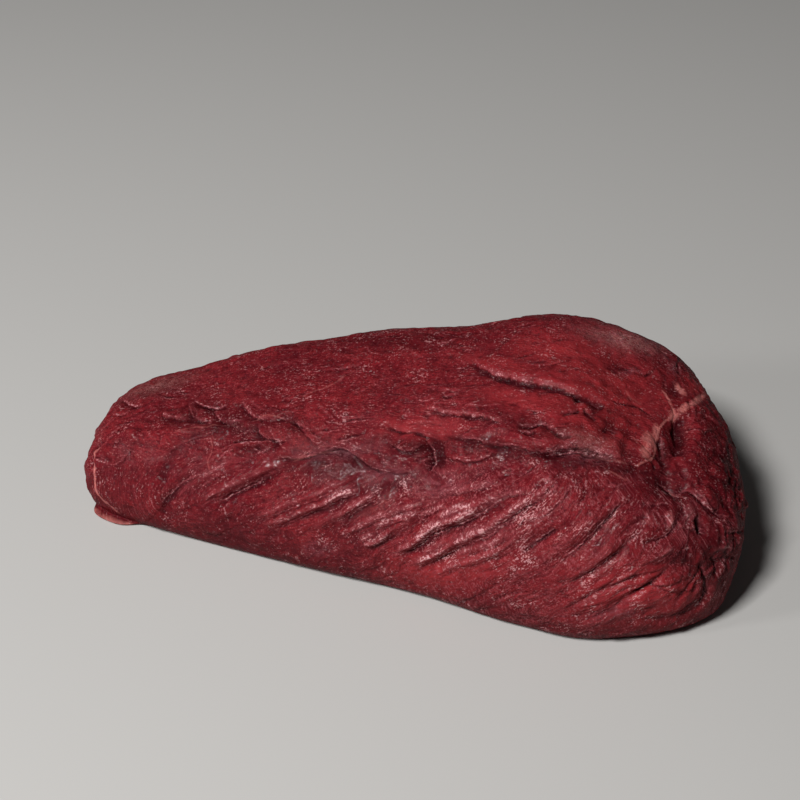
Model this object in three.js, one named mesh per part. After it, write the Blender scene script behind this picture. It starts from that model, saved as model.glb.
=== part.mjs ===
// Beef shoulder: one raw, trimmed, whole-muscle cut that lies flat on its belly.
// Millimetres, +Z up. X runs along the cut towards its thick end, Y towards its far side.
// The origin is the middle of the bounding box, on the surface that the cut lies on.

import * as THREE from "three";

// Outline from above, anticlockwise from the thick end. A row holds x, y, the height of the
// widest level there, how far in the rounding above it reaches, and how far the side tucks in below.
const OUTLINE = [
  [142, 2, 34, 40, 10],
  [132, 36, 36, 42, 10],
  [114, 64, 36, 44, 10],
  [68, 73, 34, 46, 10],
  [10, 65, 30, 42, 10],
  [-53, 57, 26, 36, 9],
  [-112, 42, 22, 30, 8],
  [-143, 25, 20, 22, 7],
  [-148, 0, 17, 20, 8],
  [-144, -24, 14, 24, 9],
  [-102, -36, 16, 34, 8],
  [-45, -47, 18, 42, 9],
  [10, -56, 20, 48, 10],
  [54, -67, 22, 50, 10],
  [92, -69, 26, 48, 10],
  [138, -45, 30, 44, 10],
];

// Height of the top along X, from the thin end to the thick one.
const CREST = [
  [-152, 40],
  [-120, 47],
  [-60, 65],
  [0, 78],
  [60, 86],
  [110, 74],
  [156, 70],
];

const MIDDLE_X = 10; // place along X that the outline is swept around
const HALF_LENGTH = 155; // half length and half width that even out the sweep
const HALF_WIDTH = 75;
const TILT = 0.1; // rise of the top for each millimetre towards the far side
const NEAR_CROWD = 0.12; // crowds the cells towards the near side, which carries the most relief
const DOME_POWER = 2.2; // a higher value gives a flatter top and a rounder shoulder

// Fineness of the faceted surface.
const CELLS_LONG = 84;
const CELLS_WIDE = 42;
const SIDE_RINGS = 8;
const FINEST_MARK = 2.6; // narrower marks are drawn with this half width, to suit the facets

// The relief is drawn on planes that lean back, one before each side. On each plane u runs to the
// right and v upwards, in millimetres through the middle of the cut.
const LEAN = 38; // degrees that the facing direction points above the horizon
const NEAR_TURN = 11; // degrees that the near side's plane is turned about Z

// Strokes are arcs: start u, v, end u, v, bow to the left, height or depth, half width.
// Folds of the near muscle climb to the right, with a valley under each.
const SWELL_REACH = 1.3; // half width of a fold's broad swell against its own
const UPPER_REACH = 0.6; // and of the ridge on it, above the crest line
const LOWER_REACH = 0.4; // and of the ridge below that line, and of the valley
const VALLEY_PLACE = 0.84; // how far below the line the valley lies
const SWELL_SHARE = 0.45; // shares of the height
const RIDGE_SHARE = 0.55;
const VALLEY_SHARE = 0.35;
const NEAR_FOLDS = [
  [-106, 11, -75, 28, 1.5, 0.8, 4.5],
  [-92, 4, -53, 21, 1, 1.3, 4],
  [-71, 2, -25, 20, 0.5, 1.3, 3.5],
  [-66, -1, -25, 16, -0.5, 2, 3.4],
  [-44, -1, -17, 14, 0, 1.7, 3.2],
  [-30, -4, 2, 10, 1.5, 1.6, 3.2],
  [-23, -8, 1, 6, -0.5, 1.8, 3.2],
  [-11, -12, 35, 16, 0, 2.1, 3.6],
  [-4, -17, 51, 16, -1.5, 1.7, 4],
  [15, -19, 61, 15, -2.5, 1.3, 4.2],
  [34, -23, 73, 9, -2.5, 1.1, 4.2],
  [42, -29, 85, 3, -4.5, 1, 4.2],
  [48, -35, 98, -6, -5.5, 0.9, 4.2],
  [59, -40, 106, -22, -3.5, 0.8, 4],
];

// Creases where the muscles meet and where the thick end is drawn together.
const NEAR_CREASES = [
  [-60, 45, -45, 38, 1, 1.6, 1.8],
  [41, 42, 61, 36, 2, 2.2, 1.5],
  [46, -8, 69, 15, 0, 2, 1.4],
  [104, 12, 90, -17, 0.5, 1.8, 1.8],
  [110, 16, 120, 7, -0.5, 1.6, 1.5],
  [65, 54, 78, 49, 0.5, 1.6, 1.8],
  [-113, 7, -92, 21, 1.5, 1.2, 2.2],
  [110, 20, 101, 14, 0.5, 1.4, 1.8],
];

// Steps at the edges of raised layers. A row holds the height, the reach over which the raised
// side fades, and the edge's points, with the raised side on the right along them. The foot of a
// step is undercut by a share of its height.
const STEP_RISE = 1.5; // half width of the rise
const FOOT_SHARE = 0.4;
const FOOT_WIDTH = 2;
const NEAR_STEPS = [
  [1.9, 9, [[57, 56], [43, 57.5], [29, 62], [23, 67], [28, 71]]], // tongue of lean on the top
  [1.8, 10, [[-4, 22.5], [-18, 23], [-32, 32], [-48, 28], [-60, 28]]], // silvery arc
  [3, 12, [[82, 24], [60, 28], [51, 29]]], // lip that hangs over the seam
  [1.2, 8, [[-40, 32], [-45, 36], [-53, 45]]],
  [1.3, 5, [[-101, 45], [-112, 47], [-104, 50]]],
  [1, 7, [[-57, 45], [-70, 46], [-76, 53]]],
  [1.4, 6, [[8.5, 36], [4.5, 37], [0, 38.5], [-7, 39.5], [-12, 41.5]]], // layers over the pit
  [1.2, 5, [[2.5, 34], [-1, 32], [-4, 31], [-8, 32], [-13, 35]]],
  [1.4, 6, [[35, 42], [28, 44.5], [21, 45], [13.5, 46], [8.5, 47.5], [3.5, 49]]],
  [1.9, 5, [[51, 30], [41, 32.5], [33.5, 33.5], [28.5, 34], [22.5, 36], [16.5, 36.5], [11.5, 38]]],
  [1.3, 4, [[31, 31.5], [25.5, 28.5], [20.5, 27], [16.5, 27.5], [10.5, 28.5]]],
  [1.3, 8, [[-86, 31.5], [-80, 34], [-73, 35], [-66, 35.5], [-59, 34.5]]],
];

// The long valley between the upper muscle and the near one, the pit at its left end, and the
// slit and the short seam in the thick end.
const SEAM = { depth: 4, halfWidth: 9, points: [[-13, 21], [21, 24.5], [57, 27], [89, 23], [110, 16.5]] };
const PIT = { depth: 3.5, halfWidth: 2.6, points: [[8, 35], [8, 29], [6, 24.5]] };
const SLIT = { depth: 4, halfWidth: 2.6, points: [[108, 45], [108, 39], [105, 32]] };
const END_SEAM = {
  depth: 2.8,
  halfWidth: 2.6,
  points: [[99.5, 38.5], [97, 30], [100, 25], [102, 19], [105.5, 13]],
};

// Hollows: u, v, depth, radius.
const NEAR_HOLLOWS = [
  [7, 30, 2, 7],
  [-27, 23.5, 1.6, 11],
  [-12, 17.5, 1.2, 8],
  [107, 42, 3, 6],
  [101, 32, 2.8, 5.5],
  [108, 18, 3.2, 7],
  [113, -1.5, 2.4, 5],
  [99, 19, 2.2, 6],
  [93, 54, 1.5, 10],
  [80, 41, 1.5, 9],
  [119, -13.5, 1.8, 8],
  [-129, 50, 1.6, 6],
];

// The far side and the two ends have folds and creases of the same kind, evenly spaced from one
// u to another with seeded variation. V at u = 0 changes by slope for each millimetre of u.
const OTHER_SIDES = [
  { turn: 191, fromU: -128, toU: 112, lowV: -25, slope: -0.1, folds: 17, length: 40, climb: 24, seed: 4711 },
  { turn: 101, fromU: -66, toU: 44, lowV: -74, slope: 0, folds: 9, length: 26, climb: 30, seed: 1203 },
  { turn: 281, fromU: -34, toU: 20, lowV: -80, slope: 0, folds: 5, length: 16, climb: 18, seed: 377 },
];
const OTHER_FOLD = { height: 1.3, width: 4.2 };
const OTHER_CREASE = { depth: 1.5, width: 2, share: 0.6 }; // share is the length against a fold's

const WAVE_HEIGHT = 0.5; // gentle unevenness all over
const FLOOR_FADE = 9; // relief dies out over this height above the flat belly

// A thin flap of fat that lies out on the surface, under the near corner of the thin end.
const FLAP = { x: -135, y: -26, halfLength: 13, reach: 5.5, thickness: 1.6 };

const COLOUR = 0x6a2126;
const ROUGHNESS = 0.45;

const DEGREE = Math.PI / 180;

function smoothstep(low, high, value) {
  const t = THREE.MathUtils.clamp((value - low) / (high - low), 0, 1);
  return t * t * (3 - 2 * t);
}

// The outline as two closed curves: its place in space, and the shape of the side there.
const outlinePlace = new THREE.CatmullRomCurve3(
  OUTLINE.map(([x, y, level]) => new THREE.Vector3(x, y, level)),
  true,
  "catmullrom",
  0.5
);
const outlineShape = new THREE.CatmullRomCurve3(
  OUTLINE.map(([, , , rounding, tuck]) => new THREE.Vector3(rounding, tuck, 0)),
  true,
  "catmullrom",
  0.5
);

function sweepAngle(x, y) {
  const angle = Math.atan2(y / HALF_WIDTH, (x - MIDDLE_X) / HALF_LENGTH);
  return angle < 0 ? angle + 2 * Math.PI : angle;
}

const KNOTS = OUTLINE.map(([x, y]) => sweepAngle(x, y));

// Turns a sweep angle into the place along the closed curves, from 0 to 1.
function outlineParameter(angle) {
  const turn = 2 * Math.PI;
  const wrapped = KNOTS[0] + THREE.MathUtils.euclideanModulo(angle - KNOTS[0], turn);
  let row = KNOTS.length - 1;
  while (KNOTS[row] > wrapped) row -= 1;
  const next = row + 1 < KNOTS.length ? KNOTS[row + 1] : KNOTS[0] + turn;
  return (row + (wrapped - KNOTS[row]) / (next - KNOTS[row])) / KNOTS.length;
}

const crestCurve = new THREE.SplineCurve(CREST.map(([x, height]) => new THREE.Vector2(x, height)));

function crestHeight(x) {
  const last = CREST.length - 1;
  const clamped = THREE.MathUtils.clamp(x, CREST[0][0], CREST[last][0]);
  let row = 0;
  while (row < last - 1 && CREST[row + 1][0] < clamped) row += 1;
  const share = (clamped - CREST[row][0]) / (CREST[row + 1][0] - CREST[row][0]);
  return crestCurve.getPoint((row + share) / last).y;
}

// One point of the smooth body. Along and width run from -1 to 1 over the top. Down is 0 on
// the top and runs to 1 from the widest level round under the side to the belly.
function bodyPoint(along, width, down) {
  const across = width + NEAR_CROWD * (width * width - 1);
  const x = along * Math.sqrt(1 - (across * across) / 2);
  const y = across * Math.sqrt(1 - (along * along) / 2);
  const reach = Math.min(Math.hypot(x, y), 1);
  const angle = Math.atan2(y, x);
  const place = outlinePlace.getPoint(outlineParameter(angle));
  const shape = outlineShape.getPoint(outlineParameter(angle));
  const before = outlinePlace.getPoint(outlineParameter(angle - 0.001));
  const tangent = outlinePlace.getPoint(outlineParameter(angle + 0.001)).sub(before).setZ(0).normalize();
  const spoke = new THREE.Vector2(place.x - MIDDLE_X, place.y);
  const share = Math.sin((reach * Math.PI) / 2);
  const squareReach = Math.abs(spoke.x * tangent.y - spoke.y * tangent.x);
  const inward = THREE.MathUtils.clamp(((1 - share) * squareReach) / shape.x, 0, 1);
  const dome = Math.sqrt(1 - Math.pow(1 - inward, DOME_POWER));
  const point = new THREE.Vector3(MIDDLE_X + spoke.x * share, spoke.y * share, 0);
  const top = crestHeight(point.x) + TILT * point.y;
  point.z = place.z + (top - place.z) * dome;
  if (down > 0) {
    const turn = (down * Math.PI) / 2;
    const tuck = shape.y * (1 - Math.cos(turn));
    point.z = place.z * (1 - Math.sin(turn));
    const flap = flapReach(point);
    point.x += tangent.y * (flap - tuck);
    point.y -= tangent.x * (flap - tuck);
  }
  return point;
}

function flapReach(point) {
  const distance = Math.hypot(point.x - FLAP.x, point.y - FLAP.y) / FLAP.halfLength;
  const low = 1 - smoothstep(0.7 * FLAP.thickness, 1.6 * FLAP.thickness, point.z);
  return FLAP.reach * low * Math.exp(-Math.pow(distance, 4));
}

// A drawing plane: its right and up directions, and the direction that it faces.
function drawingPlane(turn) {
  const a = turn * DEGREE;
  const e = LEAN * DEGREE;
  return {
    right: new THREE.Vector3(Math.cos(a), Math.sin(a), 0),
    up: new THREE.Vector3(-Math.sin(a) * Math.sin(e), Math.cos(a) * Math.sin(e), Math.cos(e)),
    facing: new THREE.Vector3(Math.sin(a) * Math.cos(e), -Math.cos(a) * Math.cos(e), Math.sin(e)),
  };
}

// Points along an arc between two places, bowed to its left.
function arcPoints([startU, startV, endU, endV, bow]) {
  const start = new THREE.Vector2(startU, startV);
  const end = new THREE.Vector2(endU, endV);
  const left = new THREE.Vector2(startV - endV, endU - startU).normalize();
  const handle = start.clone().add(end).multiplyScalar(0.5).addScaledVector(left, 2 * bow);
  return new THREE.QuadraticBezierCurve(start, handle, end).getPoints(8);
}

function splinePoints(points) {
  return new THREE.SplineCurve(points.map(([u, v]) => new THREE.Vector2(u, v))).getPoints(6 * points.length);
}

// The nearest place on a line: the distance to its right, and the share of its length run.
function nearest(line, u, v) {
  let best = { distance: Infinity, side: 1, run: 0 };
  for (let i = 0; i + 1 < line.length; i += 1) {
    const du = line[i + 1].x - line[i].x;
    const dv = line[i + 1].y - line[i].y;
    const raw = ((u - line[i].x) * du + (v - line[i].y) * dv) / (du * du + dv * dv);
    const part = THREE.MathUtils.clamp(raw, 0, 1);
    const offU = u - line[i].x - part * du;
    const offV = v - line[i].y - part * dv;
    const distance = Math.hypot(offU, offV);
    if (distance < best.distance) {
      const side = Math.sign(du * offV - dv * offU) > 0 ? -1 : 1;
      best = { distance, side, run: (i + part) / (line.length - 1) };
    }
  }
  return best;
}

// 1 along a stroke and 0 at its two ends.
function taper(run) {
  return 1 - Math.pow(2 * run - 1, 4);
}

function bell(value) {
  return Math.exp(-value * value);
}

// A fold is a broad swell with a narrow ridge on it, and a valley on its right, its lower side.
function foldRelief({ line, height, width }, u, v) {
  const { distance, side, run } = nearest(line, u, v);
  const right = distance * side;
  const upper = Math.max(UPPER_REACH * width, FINEST_MARK);
  const lower = Math.max(LOWER_REACH * width, FINEST_MARK);
  const swell = bell(right / (SWELL_REACH * width));
  const ridge = bell(right / (right < 0 ? upper : lower));
  const valley = bell((right - VALLEY_PLACE * width) / lower);
  const profile = SWELL_SHARE * swell + RIDGE_SHARE * ridge - VALLEY_SHARE * valley;
  return height * taper(run) * profile;
}

function creaseRelief({ line, depth, width }, u, v) {
  const { distance, run } = nearest(line, u, v);
  return -depth * taper(run) * bell(distance / width);
}

// A step rises sharply at its edge and fades away behind it.
function stepRelief({ line, height, reach }, u, v) {
  const { distance, side, run } = nearest(line, u, v);
  const right = distance * side;
  const rise = smoothstep(-STEP_RISE, STEP_RISE, right) * Math.exp(-Math.max(right, 0) / reach);
  return height * taper(run) * (rise - FOOT_SHARE * bell((right + FOOT_WIDTH) / FOOT_WIDTH));
}

function makeFold(row) {
  return { line: arcPoints(row), height: row[5], width: row[6] };
}

function makeCrease(row) {
  return { line: arcPoints(row), depth: row[5], width: Math.max(row[6], FINEST_MARK) };
}

// A seeded draw between -1 and 1, the same on every run.
function seededDraw(seed) {
  let state = seed;
  return () => {
    state = (state * 16807) % 2147483647;
    return (2 * state) / 2147483647 - 1;
  };
}

// Rows of folds and creases for a side, by its rule.
function ruledRows(side) {
  const draw = seededDraw(side.seed);
  const folds = [];
  const creases = [];
  for (let i = 0; i < side.folds; i += 1) {
    const middle = side.fromU + ((side.toU - side.fromU) * i) / (side.folds - 1);
    const u = middle + 4 * draw();
    const v = side.lowV + side.slope * u + 6 * draw();
    const length = side.length * (1 + 0.3 * draw());
    const climb = side.climb * (1 + 0.3 * draw());
    const height = OTHER_FOLD.height * (1 + 0.4 * draw());
    folds.push([u, v, u + length, v + climb, 3 * draw(), height, OTHER_FOLD.width]);
    const startU = middle + 8 * draw();
    const startV = v + climb * (0.8 + 0.6 * draw());
    const reach = length * OTHER_CREASE.share;
    const drop = 0.35 * climb * draw();
    creases.push([startU, startV, startU + reach, startV + drop, 2, OTHER_CREASE.depth, OTHER_CREASE.width]);
  }
  return { folds, creases };
}

function makeValley({ depth, halfWidth, points }) {
  return { line: splinePoints(points), depth, width: halfWidth };
}

const near = {
  plane: drawingPlane(NEAR_TURN),
  folds: NEAR_FOLDS.map(makeFold),
  creases: [...NEAR_CREASES.map(makeCrease), ...[SEAM, PIT, SLIT, END_SEAM].map(makeValley)],
  steps: NEAR_STEPS.map(([height, reach, points]) => ({ line: splinePoints(points), height, reach })),
  hollows: NEAR_HOLLOWS,
};

const others = OTHER_SIDES.map((side) => {
  const rows = ruledRows(side);
  return {
    plane: drawingPlane(side.turn),
    folds: rows.folds.map(makeFold),
    creases: rows.creases.map(makeCrease),
    steps: [],
    hollows: [],
  };
});

// Height of all marks of one side at a point.
function drawnRelief(marks, point) {
  const u = point.dot(marks.plane.right);
  const v = point.dot(marks.plane.up);
  let height = 0;
  for (const fold of marks.folds) height += foldRelief(fold, u, v);
  for (const crease of marks.creases) height += creaseRelief(crease, u, v);
  for (const step of marks.steps) height += stepRelief(step, u, v);
  for (const [atU, atV, depth, radius] of marks.hollows) {
    height -= depth * bell(Math.hypot(u - atU, v - atV) / radius);
  }
  return height;
}

// Gentle unevenness: three slanting waves of different lengths.
function waveRelief(point) {
  const first = Math.sin(point.x / 11 + point.y / 17 + 1);
  const second = Math.sin(point.y / 9 - point.x / 23 + point.z / 14);
  const third = Math.sin(point.z / 8 + point.x / 13 - point.y / 19 + 2);
  return (WAVE_HEIGHT * (first + second + third)) / 1.7;
}

// Height of the relief along the surface's normal, none on the belly. The near side's marks come
// first, and the other sides share what is left by how squarely the surface faces each.
function relief(point, normal) {
  const nearShare = smoothstep(0.1, 0.3, normal.dot(near.plane.facing));
  const claims = others.map((side) => Math.pow(Math.max(normal.dot(side.plane.facing), 0), 3));
  const total = claims.reduce((sum, claim) => sum + claim, 1e-6);
  let height = waveRelief(point);
  if (nearShare > 0) height += nearShare * drawnRelief(near, point);
  others.forEach((side, n) => {
    const share = ((1 - nearShare) * claims[n]) / total;
    if (share > 0.001) height += share * drawnRelief(side, point);
  });
  return height * smoothstep(0, FLOOR_FADE, point.z);
}

// Points of the top as a grid, and the numbers of those on its border, anticlockwise.
function topGrid(points) {
  const grid = [];
  for (let j = 0; j <= CELLS_WIDE; j += 1) {
    grid.push([]);
    for (let i = 0; i <= CELLS_LONG; i += 1) {
      grid[j].push(points.length);
      points.push(bodyPoint((2 * i) / CELLS_LONG - 1, (2 * j) / CELLS_WIDE - 1, 0));
    }
  }
  const front = grid[0].slice(0, -1);
  const right = grid.slice(0, -1).map((row) => row[CELLS_LONG]);
  const back = grid[CELLS_WIDE].slice(1).reverse();
  const left = grid.slice(1).map((row) => row[0]).reverse();
  return { grid, border: [...front, ...right, ...back, ...left] };
}

// The places from -1 to 1 of the border points, in the same order.
function borderPlaces() {
  const places = [];
  for (let i = 0; i < CELLS_LONG; i += 1) places.push([(2 * i) / CELLS_LONG - 1, -1]);
  for (let j = 0; j < CELLS_WIDE; j += 1) places.push([1, (2 * j) / CELLS_WIDE - 1]);
  for (let i = CELLS_LONG; i > 0; i -= 1) places.push([(2 * i) / CELLS_LONG - 1, 1]);
  for (let j = CELLS_WIDE; j > 0; j -= 1) places.push([-1, (2 * j) / CELLS_WIDE - 1]);
  return places;
}

// Two triangles for a quad, split along its shorter diagonal.
function addQuad(points, triangles, a, b, c, d) {
  if (points[a].distanceToSquared(points[c]) < points[b].distanceToSquared(points[d])) {
    triangles.push(a, b, c, a, c, d);
  } else {
    triangles.push(a, b, d, b, c, d);
  }
}

// The flat belly inside the lowest ring, facing down.
function addBelly(points, triangles, ring) {
  const contour = ring.map((n) => new THREE.Vector2(points[n].x, points[n].y));
  for (const [a, b, c] of THREE.ShapeUtils.triangulateShape(contour, [])) {
    const turnsLeft = contour[b].clone().sub(contour[a]).cross(contour[c].clone().sub(contour[a])) > 0;
    if (turnsLeft) triangles.push(ring[a], ring[c], ring[b]);
    else triangles.push(ring[a], ring[b], ring[c]);
  }
}

function smoothBody() {
  const points = [];
  const triangles = [];
  const { grid, border } = topGrid(points);
  const rings = [border];
  for (let k = 1; k <= SIDE_RINGS; k += 1) {
    const ring = borderPlaces().map(([along, across]) => {
      points.push(bodyPoint(along, across, k / SIDE_RINGS));
      return points.length - 1;
    });
    rings.push(ring);
  }
  return { points, triangles, grid, rings };
}

function joinFaces({ points, triangles, grid, rings }) {
  for (let j = 0; j < CELLS_WIDE; j += 1) {
    for (let i = 0; i < CELLS_LONG; i += 1) {
      addQuad(points, triangles, grid[j][i], grid[j][i + 1], grid[j + 1][i + 1], grid[j + 1][i]);
    }
  }
  for (let k = 0; k < SIDE_RINGS; k += 1) {
    for (let i = 0; i < rings[k].length; i += 1) {
      const next = (i + 1) % rings[k].length;
      addQuad(points, triangles, rings[k][i], rings[k + 1][i], rings[k + 1][next], rings[k][next]);
    }
  }
  addBelly(points, triangles, rings[SIDE_RINGS]);
}

function toGeometry({ points, triangles }) {
  const geometry = new THREE.BufferGeometry().setFromPoints(points);
  geometry.setIndex(triangles);
  geometry.computeVertexNormals();
  return geometry;
}

// The smooth body with its relief, moved so that the bounding box stands on the origin.
function shoulderGeometry() {
  const body = smoothBody();
  joinFaces(body);
  const normals = toGeometry(body).getAttribute("normal");
  body.points.forEach((point, n) => {
    const normal = new THREE.Vector3().fromBufferAttribute(normals, n);
    if (point.z > 0) point.addScaledVector(normal, relief(point.clone(), normal));
  });
  const geometry = toGeometry(body);
  geometry.computeBoundingBox();
  const middle = geometry.boundingBox.getCenter(new THREE.Vector3());
  geometry.translate(-middle.x, -middle.y, -geometry.boundingBox.min.z);
  return geometry;
}

const lean = new THREE.MeshStandardMaterial({ color: COLOUR, roughness: ROUGHNESS, metalness: 0 });

const shoulder = new THREE.Mesh(shoulderGeometry(), lean);
shoulder.name = "beef_shoulder";

const cut = new THREE.Group();
cut.add(shoulder);

export default cut;
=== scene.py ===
# %% [markdown]
# # Raw beef shoulder
# A whole-muscle cut of raw beef, trimmed of most of its fat. It is one heavy, wedge-shaped piece: thick at
# the right, thin at the left, flat where it lies. Its skin shows folds, creases and silvery film.
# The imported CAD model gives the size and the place. This script makes the surface that is looked at.

# %% Frame
import math

import bpy
import numpy as np
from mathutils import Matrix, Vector


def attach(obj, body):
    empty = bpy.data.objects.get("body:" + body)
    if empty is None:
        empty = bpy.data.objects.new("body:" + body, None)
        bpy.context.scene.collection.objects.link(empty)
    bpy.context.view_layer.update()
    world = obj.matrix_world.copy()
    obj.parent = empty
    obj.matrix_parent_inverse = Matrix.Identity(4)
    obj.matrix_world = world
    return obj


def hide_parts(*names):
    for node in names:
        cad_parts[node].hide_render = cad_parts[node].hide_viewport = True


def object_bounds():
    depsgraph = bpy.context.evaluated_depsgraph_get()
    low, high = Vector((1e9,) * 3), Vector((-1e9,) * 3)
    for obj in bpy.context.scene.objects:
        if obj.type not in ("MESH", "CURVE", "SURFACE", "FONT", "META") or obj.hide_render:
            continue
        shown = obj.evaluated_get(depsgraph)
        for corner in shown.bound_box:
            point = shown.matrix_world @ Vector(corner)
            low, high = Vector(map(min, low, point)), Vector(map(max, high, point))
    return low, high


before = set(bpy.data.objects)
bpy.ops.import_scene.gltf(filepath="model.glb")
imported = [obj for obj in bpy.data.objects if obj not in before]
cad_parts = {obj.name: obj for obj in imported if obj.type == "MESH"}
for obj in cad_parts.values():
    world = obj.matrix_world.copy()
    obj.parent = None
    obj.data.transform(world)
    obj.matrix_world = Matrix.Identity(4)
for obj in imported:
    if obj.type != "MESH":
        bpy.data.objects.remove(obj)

NODE = "beef_shoulder"
MM = 0.001  # Blender works in metres, and the sizes below are in millimetres
CAD_BOX = [list(corner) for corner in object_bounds()]


def deselect_all():
    if bpy.context.object and bpy.context.object.mode != "OBJECT":
        bpy.ops.object.mode_set(mode="OBJECT")
    bpy.ops.object.select_all(action="DESELECT")


print("CAD box in metres:", CAD_BOX)

# %% [markdown]
# ## The blank
# Everything on this cut is one skin, so it starts as one sheet: a fine grid for the top, whose border is
# extruded down ring by ring for the sides. A coarser grid closes the belly, which nobody sees. A sphere would
# crowd its faces at two poles, and a remesh would lose control of where they are fine.

# %% Blank
LONG_CELLS = 336
WIDE_CELLS = 170
SIDE_RINGS = 26
BELLY_CELLS_LONG = 84
BELLY_CELLS_WIDE = 42
BELLY_SHARE = 0.97  # the belly's own grid reaches this far, and a bridge closes the rest

deselect_all()
bpy.ops.mesh.primitive_grid_add(x_subdivisions=LONG_CELLS, y_subdivisions=WIDE_CELLS, size=2)
shoulder = bpy.context.object
shoulder.name = "shoulder"
bpy.ops.object.mode_set(mode="EDIT")
bpy.ops.mesh.select_mode(type="EDGE")
bpy.ops.mesh.select_all(action="SELECT")
bpy.ops.mesh.region_to_loop()
for _ in range(SIDE_RINGS):
    bpy.ops.mesh.extrude_region_move(TRANSFORM_OT_translate={"value": (0, 0, -1 / SIDE_RINGS)})
bpy.ops.mesh.select_all(action="DESELECT")
bpy.ops.mesh.primitive_grid_add(
    x_subdivisions=BELLY_CELLS_LONG,
    y_subdivisions=BELLY_CELLS_WIDE,
    size=2 * BELLY_SHARE,
    location=(0, 0, -1),
)
bpy.ops.mesh.select_all(action="DESELECT")
bpy.ops.mesh.select_non_manifold(
    extend=False,
    use_wire=False,
    use_boundary=True,
    use_multi_face=False,
    use_non_contiguous=False,
    use_verts=False,
)
bpy.ops.mesh.bridge_edge_loops()
bpy.ops.mesh.select_all(action="SELECT")
bpy.ops.mesh.normals_make_consistent(inside=False)
bpy.ops.object.mode_set(mode="OBJECT")
print("blank:", len(shoulder.data.vertices), "points,", len(shoulder.data.polygons), "faces")

# %% [markdown]
# ## The form
# The plan outline, the height of the crest and the roundness of the sides are the same named sizes as in the
# CAD model. Each point of the blank is moved to its place on that form: the grid's square becomes the
# outline, the top rises as a dome, and the side rings roll under to the flat belly.

# %% Sizes of the form
# A row holds x, y, the height of the widest level there, how far in the rounding above it reaches, and how
# far the side tucks in below. The rows run anticlockwise from the thick end.
OUTLINE = np.array([
    [142, 2, 34, 40, 10],
    [132, 36, 36, 42, 10],
    [114, 64, 36, 44, 10],
    [68, 73, 34, 46, 10],
    [10, 65, 30, 42, 10],
    [-53, 57, 26, 36, 9],
    [-112, 42, 22, 30, 8],
    [-143, 25, 20, 22, 7],
    [-148, 0, 17, 20, 8],
    [-144, -24, 14, 24, 9],
    [-102, -36, 16, 34, 8],
    [-45, -47, 18, 42, 9],
    [10, -56, 20, 48, 10],
    [54, -67, 22, 50, 10],
    [92, -69, 26, 48, 10],
    [138, -45, 30, 44, 10],
], float)

# Height of the top along X, from the thin end to the thick one.
CREST = np.array([[-152, 40], [-120, 47], [-60, 65], [0, 78], [60, 86], [110, 74], [156, 70]], float)

MIDDLE = np.array([10.0, 0.0])  # place that the outline is swept around
HALF_SIZE = np.array([155.0, 75.0])  # half length and half width that even out the sweep
TILT = 0.1  # rise of the top for each millimetre towards the far side
NEAR_CROWD = 0.12  # crowds the cells towards the near side, which carries the most relief
DOME_POWER = 2.2  # a higher value gives a flatter top and a rounder shoulder

# The thin flap of fat that lies out on the surface, under the near corner of the thin end.
FLAP = {"place": np.array([-135.0, -26.0]), "half_length": 13, "reach": 5.5, "thickness": 1.6}
FLAP_FULL = 0.7  # shares of its thickness below which the flap stands out fully, and above which not at all
FLAP_GONE = 1.6
print("outline spans", np.ptp(OUTLINE[:, 0]), "by", np.ptp(OUTLINE[:, 1]), "mm at its rows")


# %% Curves
def smoothstep(low, high, value):
    t = np.clip((value - low) / (high - low), 0, 1)
    return t * t * (3 - 2 * t)


def smooth_curve(rows, place, closed):
    """Points of a smooth curve through the rows. Place counts rows from 0."""
    count = len(rows)
    first = np.floor(place).astype(int)
    if not closed:
        first = np.clip(first, 0, count - 2)
    part = (place - first)[:, None]
    ids = [first + step for step in (-1, 0, 1, 2)]
    a, b, c, d = [rows[i % count if closed else np.clip(i, 0, count - 1)] for i in ids]
    curve = 2 * b + (c - a) * part + (2 * a - 5 * b + 4 * c - d) * part**2
    return 0.5 * (curve + (3 * b - a - 3 * c + d) * part**3)


def sweep_angle(points):
    steps = (points - MIDDLE) / HALF_SIZE
    return np.arctan2(steps[:, 1], steps[:, 0]) % (2 * np.pi)


KNOTS = sweep_angle(OUTLINE[:, :2])


def outline(angle):
    """The outline's row at each sweep angle, read between its knots."""
    knots = np.append(KNOTS, KNOTS[0] + 2 * np.pi)
    wrapped = KNOTS[0] + (angle - KNOTS[0]) % (2 * np.pi)
    place = np.interp(wrapped, knots, np.arange(len(knots)))
    return smooth_curve(OUTLINE, place, closed=True)


def crest_height(x):
    place = np.interp(x, CREST[:, 0], np.arange(len(CREST)))
    return smooth_curve(CREST, place, closed=False)[:, 1]


print("top is", np.round(crest_height(np.array([-100.0, 0.0, 60.0])), 1), "mm high at x = -100, 0 and 60 mm")

# %% Form
SMALL_TURN = 0.001  # angle between two places on the outline that give its direction


def flap_reach(points):
    """How far the flap of fat stands out of the side at each point."""
    distance = np.linalg.norm(points[:, :2] - FLAP["place"], axis=1) / FLAP["half_length"]
    low = 1 - smoothstep(FLAP_FULL * FLAP["thickness"], FLAP_GONE * FLAP["thickness"], points[:, 2])
    return FLAP["reach"] * low * np.exp(-(distance**4))


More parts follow.
